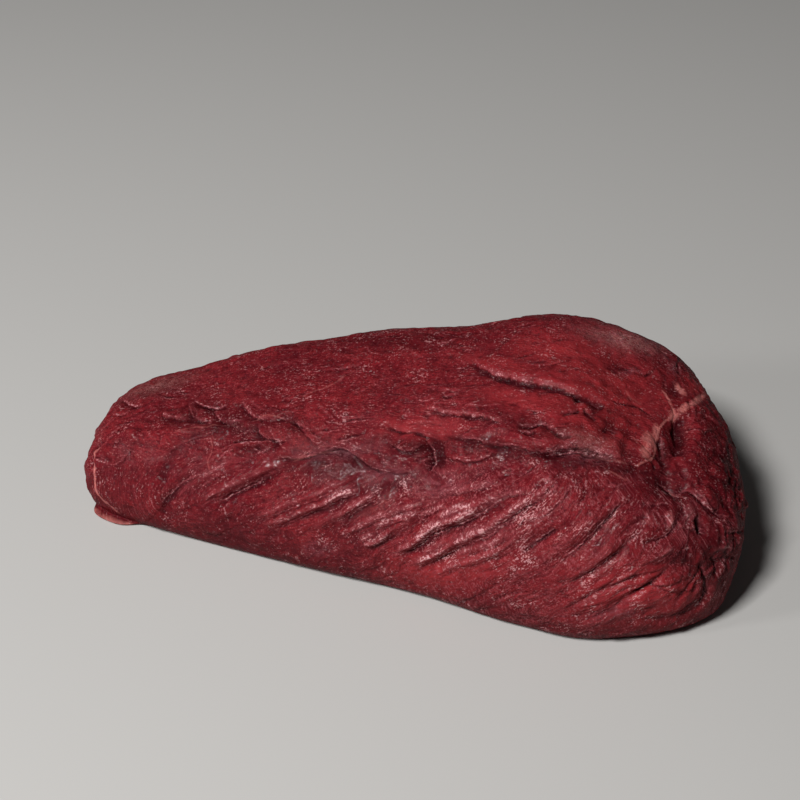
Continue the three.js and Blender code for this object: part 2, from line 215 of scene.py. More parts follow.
def form(along, across, down):
    """Places on the smooth form. Down is 0 on the top, and 1 at the lowest ring and on the belly."""
    across = across + NEAR_CROWD * (across**2 - 1)
    x = along * np.sqrt(1 - across**2 / 2)
    y = across * np.sqrt(1 - along**2 / 2)
    reach = np.minimum(np.hypot(x, y), 1)
    angle = np.arctan2(y, x)
    row = outline(angle)
    tangent = outline(angle + SMALL_TURN)[:, :2] - outline(angle - SMALL_TURN)[:, :2]
    tangent /= np.linalg.norm(tangent, axis=1)[:, None]
    outward = np.stack([tangent[:, 1], -tangent[:, 0]], axis=1)
    spoke = row[:, :2] - MIDDLE
    share = np.sin(reach * np.pi / 2)
    square_reach = np.abs((spoke * outward).sum(axis=1))
    inward = np.clip((1 - share) * square_reach / row[:, 3], 0, 1)
    dome = np.sqrt(1 - (1 - inward) ** DOME_POWER)
    flat = MIDDLE + spoke * share[:, None]
    top = crest_height(flat[:, 0]) + TILT * flat[:, 1]
    points = np.column_stack([flat, row[:, 2] + (top - row[:, 2]) * dome])
    turn = down * np.pi / 2
    edge = np.column_stack([row[:, :2], row[:, 2] * (1 - np.sin(turn))])
    tuck = row[:, 4] * (1 - np.cos(turn))
    edge[:, :2] += outward * (flap_reach(edge) - tuck)[:, None]
    edge[:, :2] = MIDDLE + (edge[:, :2] - MIDDLE) * reach[:, None]
    return np.where((down > 0)[:, None], edge, points)


form_corner = form(np.array([1.0]), np.array([-1.0]), np.array([0.0]))
print("near right corner of the blank's top goes to", np.round(form_corner[0]), "mm")


# %% Moving the blank onto the form
def read_points(piece):
    flat = np.empty(len(piece.data.vertices) * 3)
    piece.data.vertices.foreach_get("co", flat)
    return flat.reshape(-1, 3)


def write_points(piece, points):
    piece.data.vertices.foreach_set("co", points.ravel())
    piece.data.update()


def read_normals(piece):
    flat = np.empty(len(piece.data.vertices) * 3, np.float32)
    piece.data.vertex_normals.foreach_get("vector", flat)
    return flat.reshape(-1, 3).astype(float)


blank = read_points(shoulder)
base = form(blank[:, 0], blank[:, 1], -blank[:, 2])
write_points(shoulder, base)
normals = read_normals(shoulder)
print("form:", np.round(np.ptp(base, axis=0), 1), "mm")

# %% [markdown]
# ## The relief
# The marks are drawn as on tracing paper held before each side: a plane that leans back like the camera, with
# u to the right and v upwards. A mark is an arc with a height and a half width. Sculpting by hand would be
# the usual way, but arcs with real sizes can be read, changed and repeated, and always give the same surface.

# %% Drawing planes
PLANE_LEAN = math.radians(38)  # how far each plane's facing direction points above the horizon
NEAR_TURN = 11  # degrees that the near side's plane is turned about Z


class Plane:
    def __init__(self, turn):
        a = math.radians(turn)
        low, high = math.cos(PLANE_LEAN), math.sin(PLANE_LEAN)
        self.right = np.array([math.cos(a), math.sin(a), 0])
        self.up = np.array([-math.sin(a) * high, math.cos(a) * high, low])
        self.facing = np.array([math.sin(a) * low, -math.cos(a) * low, high])

    def flatten(self, points):
        return np.column_stack([points @ self.right, points @ self.up])


near = Plane(NEAR_TURN)
print("the near side's plane faces", np.round(near.facing, 2))

# %% Strokes
ARC_POINTS = 10
ARC_MIDDLE = slice(3, 7)  # the points around an arc's middle
SPLINE_POINTS = 6  # for each point of its row


def arc(row):
    """Points along an arc from start to end, bowed to its left."""
    start, end = np.array(row[:2], float), np.array(row[2:4], float)
    left = np.array([start[1] - end[1], end[0] - start[0]]) / np.linalg.norm(end - start)
    handle = (start + end) / 2 + 2 * row[4] * left
    t = np.linspace(0, 1, ARC_POINTS)[:, None]
    return (1 - t) ** 2 * start + 2 * t * (1 - t) * handle + t**2 * end


def spline(points):
    rows = np.array(points, float)
    return smooth_curve(rows, np.linspace(0, len(rows) - 1, SPLINE_POINTS * len(rows)), closed=False)


def nearest(line, places):
    """How far right of a line each place is, less than 0 on its left, and the share of the line run there."""
    best = np.full(len(places), np.inf)
    right = np.zeros(len(places))
    run = np.zeros(len(places))
    for i in range(len(line) - 1):
        step = line[i + 1] - line[i]
        off = places - line[i]
        part = np.clip(off @ step / (step @ step), 0, 1)
        gap = off - part[:, None] * step
        distance = np.hypot(gap[:, 0], gap[:, 1])
        closer = distance < best
        side = np.where(step[0] * gap[:, 1] - step[1] * gap[:, 0] > 0, -1, 1)
        best = np.where(closer, distance, best)
        right = np.where(closer, distance * side, right)
        run = np.where(closer, (i + part) / (len(line) - 1), run)
    return right, run


def bell(value):
    return np.exp(-(value**2))


def taper(run):
    """1 along a stroke and 0 at its two ends."""
    return 1 - (2 * run - 1) ** 4


def beside(line, places, reach):
    """The numbers of the places near a line, how far right of it each is, and the stroke's taper there."""
    low = line.min(axis=0) - reach
    high = line.max(axis=0) + reach
    ids = np.flatnonzero(((places > low) & (places < high)).all(axis=1))
    right, run = nearest(line, places[ids])
    return ids, right, taper(run)


print("a stroke's taper at its start, quarter and middle:", taper(np.array([0, 0.25, 0.5])))

# %% [markdown]
# ## Noise
# No part of meat is even, so almost every mark needs some seeded disorder. The mesh needs it as numbers at
# its points, which a shader's texture can't give, so three kinds are worked out here: soft lumps, rounded
# bundles with sharp creases between them, and domed lobes.

# %% Noise
LUMP_TABLE = 64  # the noise repeats after this many lumps
LOBE_TABLE = 32
BUNDLE_GAIN = 3.2  # brings the bundles' rounded tops up to about 1
LOBE_CREASE = 0.4  # width of the crease around a lobe, against the lobe's
LOWEST_LOBE = 0.5


def lattice_noise(points, seed):
    """Smooth seeded noise from -1 to 1, with lumps about one unit wide, at points in space."""
    table = np.random.RandomState(seed).uniform(-1, 1, [LUMP_TABLE] * 3)
    cell = np.floor(points).astype(int)
    part = points - cell
    part = part * part * (3 - 2 * part)
    value = np.zeros(len(points))
    for corner in np.ndindex(2, 2, 2):
        step = np.array(corner)
        weight = np.where(step, part, 1 - part).prod(axis=1)
        value += weight * table[tuple(((cell + step) % LUMP_TABLE).T)]
    return value


def layered_noise(points, seed, layers=3):
    total = np.zeros(len(points))
    for k in range(layers):
        total += lattice_noise(points * 2.0**k, seed + k) / 2.0**k
    return total / (2 - 2.0 ** (1 - layers))


def bundles(points, seed):
    """Rounded bundles between sharp creases, from -1 to about 1."""
    return BUNDLE_GAIN * np.abs(layered_noise(points, seed, 2)) - 1


def lobes(points, seed):
    """Domed cells with a crease around each, from 0 at a crease to between 0.5 and 1.5."""
    table = np.random.RandomState(seed).uniform(0, 1, [LOBE_TABLE] * 3 + [4])
    cell = np.floor(points).astype(int)
    first = np.full(len(points), np.inf)
    second = np.full(len(points), np.inf)
    level = np.zeros(len(points))
    for step in np.ndindex(3, 3, 3):
        other = cell + np.array(step) - 1
        drawn = table[tuple((other % LOBE_TABLE).T)]
        distance = np.linalg.norm(other + drawn[:, :3] - points, axis=1)
        second = np.minimum(second, np.maximum(distance, first))
        level = np.where(distance < first, drawn[:, 3], level)
        first = np.minimum(first, distance)
    return smoothstep(0, LOBE_CREASE, second - first) * (LOWEST_LOBE + level)


three_places = np.array([[0.5, 0.5, 0.5], [1.5, 0.5, 0.5], [2.5, 0.5, 0.5]])
print("noise at three places:", np.round(layered_noise(three_places, 5), 2))

# %% [markdown]
# ## The drawing of a side
# A mark on meat is more than a change of height. Its crest shines, and beside it runs a dark crack. So each
# side gets one drawing that adds up all three: the height, the crest that gets a painted highlight, and the
# line that gets painted shade. Marks drawn too evenly would look ruled, so the places that they are drawn on
# wander a little first.

# %% Drawing of a side
LINE_GROUPS = 3  # neighbouring lines go into different groups, so that their distances don't mix
NO_LINE = 9.0  # distance that is kept where there is no line
LINE_FADE = (1.6, 2.8)  # distances up to which a line shows fully, and beyond which it doesn't


class Drawing:
    """What the marks of one side add up to at each point: height, crests, and dark lines in groups."""

    def __init__(self, size):
        self.height = np.zeros(size)
        self.crest = np.zeros(size)
        self.line = np.full((LINE_GROUPS, size), NO_LINE)
        self.line_shows = np.zeros((LINE_GROUPS, size))

    def add_line(self, group, ids, signed, shows):
        """Keeps the distance in millimetres to the line that shows most, negative on its raised side."""
        shows = shows * (1 - smoothstep(*LINE_FADE, np.abs(signed)))
        closer = shows > self.line_shows[group, ids]
        self.line[group, ids] = np.where(closer, signed, self.line[group, ids])
        self.line_shows[group, ids] = np.maximum(shows, self.line_shows[group, ids])


near_drawing = Drawing(len(base))
print("a drawing keeps", LINE_GROUPS, "groups of lines for each of", len(base), "points")

# %% Places on the near side
NEAR_FACING = (0.1, 0.3)  # how far a point faces the plane where the near side starts, and where it is full
WOBBLE = 0.9  # strokes wander by this much, over lumps of this width
WOBBLE_WIDTH = 9
# Relief moves the marks a little in the picture. These shifts bring them back: everywhere, at the thick end
# between two values of u, and under the seam between two values of v.
SIDE_SHIFT = 0.5
END_SHIFT, END_LIMITS = 1.8, (85, 108)
FOLD_SHIFT, FOLD_LIMITS = 1.0, (12, 24)

near_share = smoothstep(*NEAR_FACING, normals @ near.facing)
near_places = near.flatten(base)
at_end = smoothstep(*END_LIMITS, near_places[:, 0])
under_seam = 1 - smoothstep(*FOLD_LIMITS, near_places[:, 1])
near_places -= np.column_stack([SIDE_SHIFT + END_SHIFT * at_end, -FOLD_SHIFT * under_seam])
wobbles = [layered_noise(base / WOBBLE_WIDTH, seed) for seed in (61, 62)]
unsteady = near_places + WOBBLE * np.column_stack(wobbles)
print("the near side takes up", round(100 * np.mean(near_share)), "% of the points")

# %% [markdown]
# ## Folds
# The near muscle lies in slanting folds, one beside the other. A fold is a broad swell with a narrow ridge on
# it, and a valley below. Each is one row of sizes read from the photo, so that it can be found and changed on
# its own. A repeated pattern would be shorter, but no two folds on meat are alike.

# %% Sizes of the folds
# Start u, v, end u, v, bow to the left, height, half width.
NEAR_FOLDS = [
    [-106, 11, -75, 28, 1.5, 1.6, 4.5],
    [-92, 10.8, -55, 26, 1, 2, 4],
    [-71, 2, -25, 20, 0.5, 1.8, 3.5],
    [-66, -1, -25, 16, -0.5, 2.3, 3.4],
    [-44, -1, -17, 14, 0, 1.7, 3.2],
    [-30, -4, 2, 10, 1.5, 1.6, 3.2],
    [-23, -8, 1, 6, -0.5, 1.8, 3.2],
    [-11, -12, 35, 16, 0, 2.1, 3.6],
    [-4, -17, 51, 16, -1.5, 1.7, 4],
    [15, -19, 61, 15, -2.5, 1.3, 4.2],
    [34, -23, 73, 9, -2.5, 1.1, 4.2],
    [42, -29, 85, 3, -4.5, 1, 4.2],
    [48, -35, 98, -6, -5.5, 0.9, 4.2],
    [59, -40, 106, -22, -3.5, 0.8, 4],
]
print(len(NEAR_FOLDS), "folds on the near muscle, up to", max(row[5] for row in NEAR_FOLDS), "mm high")

# %% Folds
# Reaches and places are against a fold's half width, and shares against its height.
FOLD_BOX = 4  # beyond this, a fold isn't worked out
SWELL_REACH = 1.3
SWELL_SHARE = 0.6
UPPER_REACH = 0.5
LOWER_REACH = 0.34
RIDGE_SHARE = 0.35
VALLEY_PLACE = 0.84
VALLEY_REACH = 0.5
VALLEY_SHARE = 0.4
FULL_FOLD_CREST = 4  # height in millimetres of a fold that would shine fully
FULL_FOLD_LINE = 1.8  # height of a fold whose dark line shows most
FOLD_LINE_SHARE = 0.5  # a fold's line is softer than a crease's


def draw_folds(drawing, places, rows):
    for number, row in enumerate(rows):
        rise, width = row[5], row[6]
        ids, right, fade = beside(arc(row), places, FOLD_BOX * width)
        foot = right - VALLEY_PLACE * width
        ridge = bell(right / (np.where(right < 0, UPPER_REACH, LOWER_REACH) * width))
        shape = SWELL_SHARE * bell(right / (SWELL_REACH * width)) + RIDGE_SHARE * ridge
        shape -= VALLEY_SHARE * bell(foot / (VALLEY_REACH * width))
        drawing.height[ids] += rise * fade * shape
        shine = fade * ridge**2 * rise / FULL_FOLD_CREST
        drawing.crest[ids] = np.maximum(drawing.crest[ids], shine)
        shows = FOLD_LINE_SHARE * fade * min(rise / FULL_FOLD_LINE, 1)
        drawing.add_line(number % LINE_GROUPS, ids, foot, shows)


draw_folds(near_drawing, unsteady, NEAR_FOLDS)
print("with folds, the near side rises up to", round(near_drawing.height.max(), 2), "mm")

# %% [markdown]
# ## Wet ridges
# Where the torn skin is drawn up most, it stands in sharp little ridges that shine. One side of a ridge is
# steep and ends in a groove, so it is drawn with two different reaches.

# %% Sizes of the wet ridges
# Height, half width, shine and the crest line's points, with the steeper side on the right along them.
RIDGES = [
    [1, 1.3, 0.9, [[-39.8, 8.8], [-34.6, 12.6], [-30, 14.3], [-24.9, 16]]],
    [1.3, 1.6, 1, [[-33.9, 2.1], [-29.2, 6.4], [-24.5, 9.8], [-18, 12.4]]],
    [0.8, 1, 0.7, [[-29.7, -3], [-22.9, 1.4], [-14.9, 4.8], [-7, 7.8], [0, 9.5]]],
    [1, 1.2, 0.8, [[-23.7, -1.6], [-17.4, 0.6], [-11.2, 3.2], [-4.9, 4.9], [0.8, 6.7]]],
    [1.1, 1.2, 0.9, [[-22.1, -7.1], [-17, -6.2], [-13.7, -3.6], [-9.9, -1]]],
    [0.7, 0.9, 0.9, [[-24.2, -5], [-20.4, -3.2], [-15.8, -1.1]]],
    [1.9, 1.6, 1, [[-8.7, -9], [-2.4, -6.7], [2.9, -2], [9.4, 2.2], [17.5, 4.4], [24.6, 8.2], [37, 15.5]]],
    [1, 1.1, 0.9, [[8.6, 4.7], [15.5, 8.1], [21.5, 9.8], [31.8, 13.5]]],
    [0.7, 0.9, 0.5, [[1.2, 5], [6.1, 7.5], [11.8, 9.7]]],
    [0.6, 0.9, 0.5, [[32.9, 13.1], [39.3, 14.8], [46.3, 16]]],
    [1.2, 1.2, 0.7, [[32.2, 3], [36.5, 6.3], [42.8, 10.8], [50.1, 15.2]]],
    [1.5, 1.9, 0.9, [[-2, -14.9], [5.8, -11.6], [12.3, -7.7], [18.7, -3.8], [27.5, -0.3], [32.6, 2.6]]],
    [0.7, 1, 0.4, [[2.5, -10], [7.8, -7.4], [13.5, -3.9]]],
    [0.9, 1.3, 0.5, [[15.6, -11.4], [23.6, -7.8], [32.2, -3.9], [38.1, -0.6]]],
    [0.9, 1.4, 0.7, [[18.5, -15.5], [24, -12.4], [29.6, -9.7], [35.8, -6.7]]],
    [0.9, 1.4, 0.5, [[8.4, -19.7], [15.7, -15.6], [22.4, -12.4]]],
    [0.8, 1.1, 0.4, [[8.6, 15], [15.4, 15.4], [22.3, 16.7], [33.4, 19.2]]],
    [0.8, 1.3, 0.8, [[40, 3.9], [45.1, 5.2], [49.4, 5.6], [53.6, 8.1]]],
    [1.2, 1.2, 0.9, [[98.4, 7.2], [99.5, 4.4], [101.1, 0]]],
    [0.8, 1.2, 0.5, [[90.1, 7.6], [92.1, 5.2], [92.9, 2.1]]],
    [0.7, 1.3, 0.8, [[119, -8.7], [124, -7.7], [128.5, -9.2]]],
    [1, 1.5, 0.5, [[107.2, 10.7], [108.7, 5.9], [109.4, -0.5]]],
    [0.9, 1.3, 0.5, [[93, -13.2], [97, -10.4], [100.3, -7.2]]],
]
print(len(RIDGES), "wet ridges, the highest of", max(row[0] for row in RIDGES), "mm")

# %% Wet ridges
# Reaches and places are against a ridge's half width, and the groove's share against its height.
RIDGE_BOX = 5
GENTLE_REACH = 1.25
STEEP_REACH = 0.85
GROOVE_SHARE = 0.4
GROOVE_PLACE = 2
RIDGE_LINE_PLACE = 1.9
FULL_LINE = 1.5  # height or depth in millimetres of a ridge, crease or step whose dark line shows fully


def draw_ridges(drawing, places, rows):
    for number, (rise, width, shine, points) in enumerate(rows):
        ids, right, fade = beside(spline(points), places, RIDGE_BOX * width)
        shape = bell(right / (np.where(right < 0, GENTLE_REACH, STEEP_REACH) * width))
        shape -= GROOVE_SHARE * bell((right - GROOVE_PLACE * width) / width)
        drawing.height[ids] += rise * fade * shape
        drawing.crest[ids] = np.maximum(drawing.crest[ids], shine * fade * bell(right / width))
        shows = fade * min(rise / FULL_LINE, 1)
        drawing.add_line(number % LINE_GROUPS, ids, right - RIDGE_LINE_PLACE * width, shows)


draw_ridges(near_drawing, unsteady, RIDGES)
print("with wet ridges, it rises up to", round(near_drawing.height.max(), 2), "mm")

# %% [markdown]
# ## Creases
# Creases part the folds and the lobes of membrane. Seen from above, a crease is a dark line with soft
# shoulders, so it is a narrow bell pressed into the surface, plus a line along which the finish paints shade.

# %% Sizes of the creases
# Creases with one bend: start u, v, end u, v, bow to the left, depth, half width.
NEAR_CREASES = [
    [-87, 42, -74, 43, 0, 1.2, 1.4],
    [-99, 53, -82, 50, -1.5, 1.8, 1.2],
    [-60, 45, -45, 38, 1, 1.6, 1.8],
    [71, -1, 81, 11, 0, 1.5, 1.4],
    [47, 4, 62, 18, -2, 1.3, 1.5],
    [57, -14, 74, 3, -1, 1.2, 1.5],
    [57, -23, 85, -4, -2.5, 1.4, 1.5],
    [58, -33, 90, -18, 0.5, 1.3, 1.4],
    [63, -38, 102, -12, -4.5, 1.3, 1.5],
    [90, -37, 118, -25, -5, 1, 1.4],
    [122, -2, 135, -2, 0, 1.2, 1.2],
    [120, -19, 132, -14, 3.5, 1.2, 1.3],
    [65, 54, 78, 49, 0.5, 1.6, 1.8],
    [-113, 7, -92, 21, 1.5, 1.2, 2.2],
    [-112, 27, -86, 39, 1.5, 0.9, 2.6],
    [-86, 8, -61, 20, 0.5, 1.3, 1.8],
    [110, 20, 101, 14, 0.5, 1.4, 1.8],
    [111, 5, 114, -3, 0.5, 1.5, 1.6],
    [-71, 28, -53, 37, -1, 0.9, 2.2],
    [-135, 55, -123, 51, -0.5, 1.2, 1.2],
]

# Creases with more than one bend: depth, half width and points.
BENT_CREASES = [
    [2.2, 1.6, [[99.5, 40], [100.1, 35], [100.6, 30.1], [102.1, 25.6]]],
    [1.8, 1.6, [[96.5, 20], [100.9, 18], [103.3, 15.6], [105.6, 13.1]]],
    [2, 1.5, [[106.4, 17.9], [110.9, 15.5], [114.9, 11.1], [119.6, 6.6], [124, 3.7]]],
    [1.8, 1.4, [[90.4, -5.5], [96.2, -3.6], [100.3, -0.4], [103.2, 4], [104.2, 8.4]]],
    [1, 1.6, [[89, 10.8], [95.1, 9.6], [100.5, 10.8]]],
    [1.8, 1.4, [[110.4, 5.1], [113.2, 0.3], [114.1, -3.3]]],
    [1.6, 1.2, [[111.3, -13.4], [114.2, -18.4], [116.4, -23.1], [117.7, -29.2]]],
    [1.8, 1.5, [[118.1, -11.9], [121.1, -16.1], [120.6, -20.7]]],
    [1.2, 1.1, [[104.5, -37.5], [111.1, -35], [115.4, -31.2], [116.8, -26.1]]],
    [1.2, 0.9, [[86.3, -26.2], [91.9, -23.8], [96.6, -20.1]]],
    [0.8, 1.4, [[120.4, -4.5], [125.2, -4.3], [130, -6]]],
    [2.2, 1.2, [[40.2, 41.9], [45.8, 41.8], [50.3, 42.7], [54.5, 39.8], [58.3, 36.9], [63.2, 35.7]]],
    [1.2, 1, [[40, 39.8], [44.4, 38.9], [48.9, 39.8]]],
    [2.4, 2.2, [[45.2, 31.5], [51.1, 31.8], [57, 32], [65.9, 32], [74.1, 31], [80.2, 28.6]]],
    [2, 1.6, [[2.9, 35.9], [4.9, 30.1], [3.3, 22.3]]],
    [1.8, 1.3, [[64.4, 52], [69.8, 51.2], [73.9, 49.5], [78.1, 48.3]]],
    [1.8, 1.1, [[58.7, 44.8], [62.5, 45.6], [65, 45.6], [67.3, 47.3]]],
    [1.3, 1.1, [[68.1, 47.4], [70.8, 44.8], [74, 42.8]]],
    [1.4, 2, [[77.3, 41.5], [79.5, 39.1], [82.8, 37.4]]],
    [2.2, 1.1, [[42.2, -9.8], [46.4, -6.5], [50.6, -3.6], [55.6, 0.9]]],
    [1.2, 1.1, [[10.2, 53.6], [13.9, 52.7], [18.9, 54.4]]],
]
print(len(NEAR_CREASES) + len(BENT_CREASES), "creases on the near side")

# %% Creases
CREASE_BOX = 4  # in half widths


def draw_creases(drawing, places, rows):
    """Each row holds the depth, the half width and the line of one crease."""
    for number, (depth, width, line) in enumerate(rows):
        ids, right, fade = beside(line, places, CREASE_BOX * width)
        drawing.height[ids] -= depth * fade * bell(right / width)
        drawing.add_line(number % LINE_GROUPS, ids, right, fade * min(depth / FULL_LINE, 1))


def with_arcs(rows):
    return [[row[5], row[6], arc(row)] for row in rows]


draw_creases(near_drawing, unsteady, with_arcs(NEAR_CREASES))
bent_lines = [[depth, width, spline(points)] for depth, width, points in BENT_CREASES]
draw_creases(near_drawing, unsteady, bent_lines)
print("with creases, it sinks down to", round(near_drawing.height.min(), 2), "mm")

# %% [markdown]
# ## Steps
# Thin layers of muscle and membrane end in the open, one over the other. Such an edge is a step: sharp on one
# side, and dying out slowly on the other. A small groove under the edge makes it look undercut, without any
# face that hangs over.

# %% Sizes of the steps
# Height, reach of the raised side, and the edge's points, with the raised side on the right along them.
NEAR_STEPS = [
    [2.5, 12, [
        [78.5, 50], [71.5, 51.5], [64.5, 54], [53.2, 58], [41.8, 60.5], [34.1, 62.5], [27, 66.5], [25, 70.5],
    ]],
    [1.8, 10, [[-4, 22.5], [-18, 23], [-32, 32], [-48, 28], [-60, 28]]],
    [2.8, 12, [[84, 29], [72, 33], [62, 34], [50, 32.5]]],
    [1.2, 8, [[-40, 32], [-45, 36], [-53, 45]]],
    [1, 6, [[-60, 35], [-66, 38], [-68, 43]]],
    [1.3, 5, [[-101, 45], [-112, 47], [-104, 50]]],
    [1.2, 6, [[-75, 42], [-85, 45], [-88, 49]]],
    [1, 6, [[-88, 44], [-97, 46], [-101, 52]]],
    [1, 7, [[-57, 45], [-70, 46], [-76, 53]]],
    [1.4, 6, [[8.5, 36], [4.5, 37], [0, 38.5], [-7, 39.5], [-12, 41.5]]],
    [1.2, 5, [[2.5, 34], [-1, 32], [-4, 31], [-8, 32], [-13, 35]]],
    [1.4, 6, [[35, 42], [28, 44.5], [21, 45], [13.5, 46], [8.5, 47.5], [3.5, 49]]],
    [1.9, 5, [[51, 30], [41, 32.5], [33.5, 33.5], [28.5, 34], [22.5, 36], [16.5, 36.5], [11.5, 38]]],
    [1.3, 4, [[31, 31.5], [25.5, 28.5], [20.5, 27], [16.5, 27.5], [10.5, 28.5]]],
    [1.3, 8, [[-86, 31.5], [-80, 34], [-73, 35], [-66, 35.5], [-59, 34.5]]],
    [1.1, 6, [[-55.5, 35], [-62.5, 36], [-67.5, 39], [-68, 42.5]]],
]
print(len(NEAR_STEPS), "steps at the edges of layers")

# %% Steps
STEP_BOX = 3  # in reaches
STEP_GAIN = 1.3  # steps are a little higher than the coarse ones of the CAD model
STEP_HALF_WIDTH = 0.6  # half width of the edge's own slope
UNDERCUT = {"share": 0.35, "place": -1, "half_width": 1.1}
STEP_LINE_PLACE = 0.7


def draw_steps(drawing, places, rows):
    for number, (rise, reach, points) in enumerate(rows):
        ids, right, fade = beside(spline(points), places, STEP_BOX * reach)
        shape = smoothstep(-STEP_HALF_WIDTH, STEP_HALF_WIDTH, right) * np.exp(-np.maximum(right, 0) / reach)
        shape -= UNDERCUT["share"] * bell((right - UNDERCUT["place"]) / UNDERCUT["half_width"])
        drawing.height[ids] += STEP_GAIN * rise * fade * shape
        shows = fade * min(rise / FULL_LINE, 1)
        drawing.add_line(number % LINE_GROUPS, ids, -right - STEP_LINE_PLACE, shows)


draw_steps(near_drawing, unsteady, NEAR_STEPS)
print("with steps, it rises up to", round(near_drawing.height.max(), 2), "mm")

# %% [markdown]
# ## Seam, slit and hollows
# A deep seam runs where two muscles meet, and at the thick end a slit opens between them. These marks are
# broad and soft, so they get no dark line of their own and are drawn on the steady places.

# %% Sizes of the seam, the slit and the hollows
# The seam between the two muscles, the slit and the short seam at the thick end, and the pit below the lobes.
SEAM = {"depth": 4, "half_width": 9, "points": [[-13, 21], [21, 24.5], [57, 27], [89, 23], [110, 16.5]]}
SLIT = {"depth": 5, "half_width": 3.3, "points": [[109.5, 46.5], [109.2, 40], [108, 34], [106.5, 29]]}
PIT = {"depth": 2.4, "half_width": 2.8, "points": [[8, 36.5], [8, 29], [6, 24.5]]}
END_SEAM = {
    "depth": 1.3, "half_width": 2.6, "points": [[99.5, 38.5], [97, 30], [100, 25], [102, 19], [105.5, 13]],
}

# Soft valleys between the low folds of the thin half.
SOFT_VALLEYS = [
    {"depth": 0.9, "half_width": 2.4, "points": [[-88.2, 8.8], [-77.2, 13.6], [-66.6, 18.4], [-56.9, 21.4]]},
    {"depth": 1.6, "half_width": 2.8, "points": [[-114, 4], [-106.4, 11.6], [-95.6, 18.2]]},
    {"depth": 0.9, "half_width": 3, "points": [[-112, 14], [-109.9, 22], [-104.9, 29.9], [-96, 34]]},
    {"depth": 1.2, "half_width": 2.2, "points": [[-59.5, 0], [-48, 4], [-36.4, 6.7]]},
    {"depth": 1.8, "half_width": 3, "points": [[-63, 24.3], [-44.9, 30], [-27.9, 29.5]]},
    {"depth": 1.6, "half_width": 2.8, "points": [[-94.7, 19.1], [-79.8, 27.7], [-64.4, 32.8]]},
]

# Hollows: u, v, depth, radius.
NEAR_HOLLOWS = [
    [7, 30, 1.6, 7],
    [4, 26, 1.2, 5],
    [-27, 23.5, 1.6, 11],
    [-12, 17.5, 1.2, 8],
    [107, 42, 3, 6],
    [101, 32, 2.8, 5.5],
    [108, 18, 3.2, 7],
    [113, -1.5, 2.4, 5],
    [99, 19, 2.2, 6],
    [93, 54, 1.5, 10],
    [80, 41, 1.5, 9],
    [119, -13.5, 1.8, 8],
    [121, 10.5, 1.4, 8],
    [-129, 50, 1.6, 6],
    [108.6, 57.4, 1.3, 4],
    [86, 66.8, 0.7, 4],
]
print("the seam is", SEAM["depth"], "mm deep and the slit", SLIT["depth"], "mm")

# %% Seam, slit and hollows
VALLEY_BOX = 3  # in half widths


def draw_valleys(drawing, places, marks):
    for mark in marks:
        width = mark["half_width"]
        ids, right, fade = beside(spline(mark["points"]), places, VALLEY_BOX * width)
        drawing.height[ids] -= mark["depth"] * fade * bell(right / width)


def draw_hollows(drawing, places, rows):
    for u, v, depth, radius in rows:
        drawing.height -= depth * bell(np.hypot(places[:, 0] - u, places[:, 1] - v) / radius)


draw_valleys(near_drawing, near_places, (SEAM, SLIT, PIT, END_SEAM, *SOFT_VALLEYS))
draw_hollows(near_drawing, near_places, NEAR_HOLLOWS)
print("with seam, slit and hollows, it sinks down to", round(near_drawing.height.min(), 2), "mm")

# %% [markdown]
# ## The other sides
# The photo hides the far side and most of the two ends. Such a cut doesn't differ in kind there, so a rule
# spaces their folds and creases, with seeded variation, and the same functions draw them.

# %% Sizes of the other sides' marks
# V at u = 0 changes by slope for each millimetre of u.
OTHER_SIDES = [
    {
        "turn": 191, "from": -128, "to": 112, "low": -25, "slope": -0.1,
        "folds": 17, "length": 40, "climb": 24, "seed": 4711,
    },
    {
        "turn": 101, "from": -66, "to": 44, "low": -74, "slope": 0,
        "folds": 9, "length": 26, "climb": 30, "seed": 1203,
    },
    {
        "turn": 281, "from": -34, "to": 20, "low": -80, "slope": 0,
        "folds": 5, "length": 16, "climb": 18, "seed": 377,
    },
]
OTHER_FOLD = {"height": 1.3, "half_width": 4.2}
OTHER_CREASE = {"depth": 1.5, "half_width": 1.6, "length": 0.6, "bow": 2}  # length against the fold's

# How far a draw moves a fold's u and v, bow and sizes, a crease's u, and its start and end along the climb.
FOLD_SPREAD = {"u": 4, "v": 6, "bow": 3, "size": 0.3, "height": 0.4}
CREASE_SPREAD = {"u": 8, "start": 0.6, "end": 0.35}
CREASE_START = 0.8


def seeded_draws(seed):
    """Numbers between -1 and 1, the same ones on every run."""
    state = seed
    while True:
        state = state * 16807 % 2147483647
        yield 2 * state / 2147483647 - 1


def ruled_rows(side):
    draws = seeded_draws(side["seed"])
    folds = []
    creases = []
    for middle in np.linspace(side["from"], side["to"], side["folds"]):
        u = middle + FOLD_SPREAD["u"] * next(draws)
        v = side["low"] + side["slope"] * u + FOLD_SPREAD["v"] * next(draws)
        length = side["length"] * (1 + FOLD_SPREAD["size"] * next(draws))
        climb = side["climb"] * (1 + FOLD_SPREAD["size"] * next(draws))
        height = OTHER_FOLD["height"] * (1 + FOLD_SPREAD["height"] * next(draws))
        bow = FOLD_SPREAD["bow"] * next(draws)
        folds.append([u, v, u + length, v + climb, bow, height, OTHER_FOLD["half_width"]])
        u = middle + CREASE_SPREAD["u"] * next(draws)
        v += climb * (CREASE_START + CREASE_SPREAD["start"] * next(draws))
        end = [u + length * OTHER_CREASE["length"], v + CREASE_SPREAD["end"] * climb * next(draws)]
        creases.append([u, v, *end, OTHER_CREASE["bow"], OTHER_CREASE["depth"], OTHER_CREASE["half_width"]])
    return folds, creases


print("a rule spaces", sum(side["folds"] for side in OTHER_SIDES), "folds on the other sides")

# %% Other sides
CLAIM_POWER = 3  # sharpens which side a point belongs to

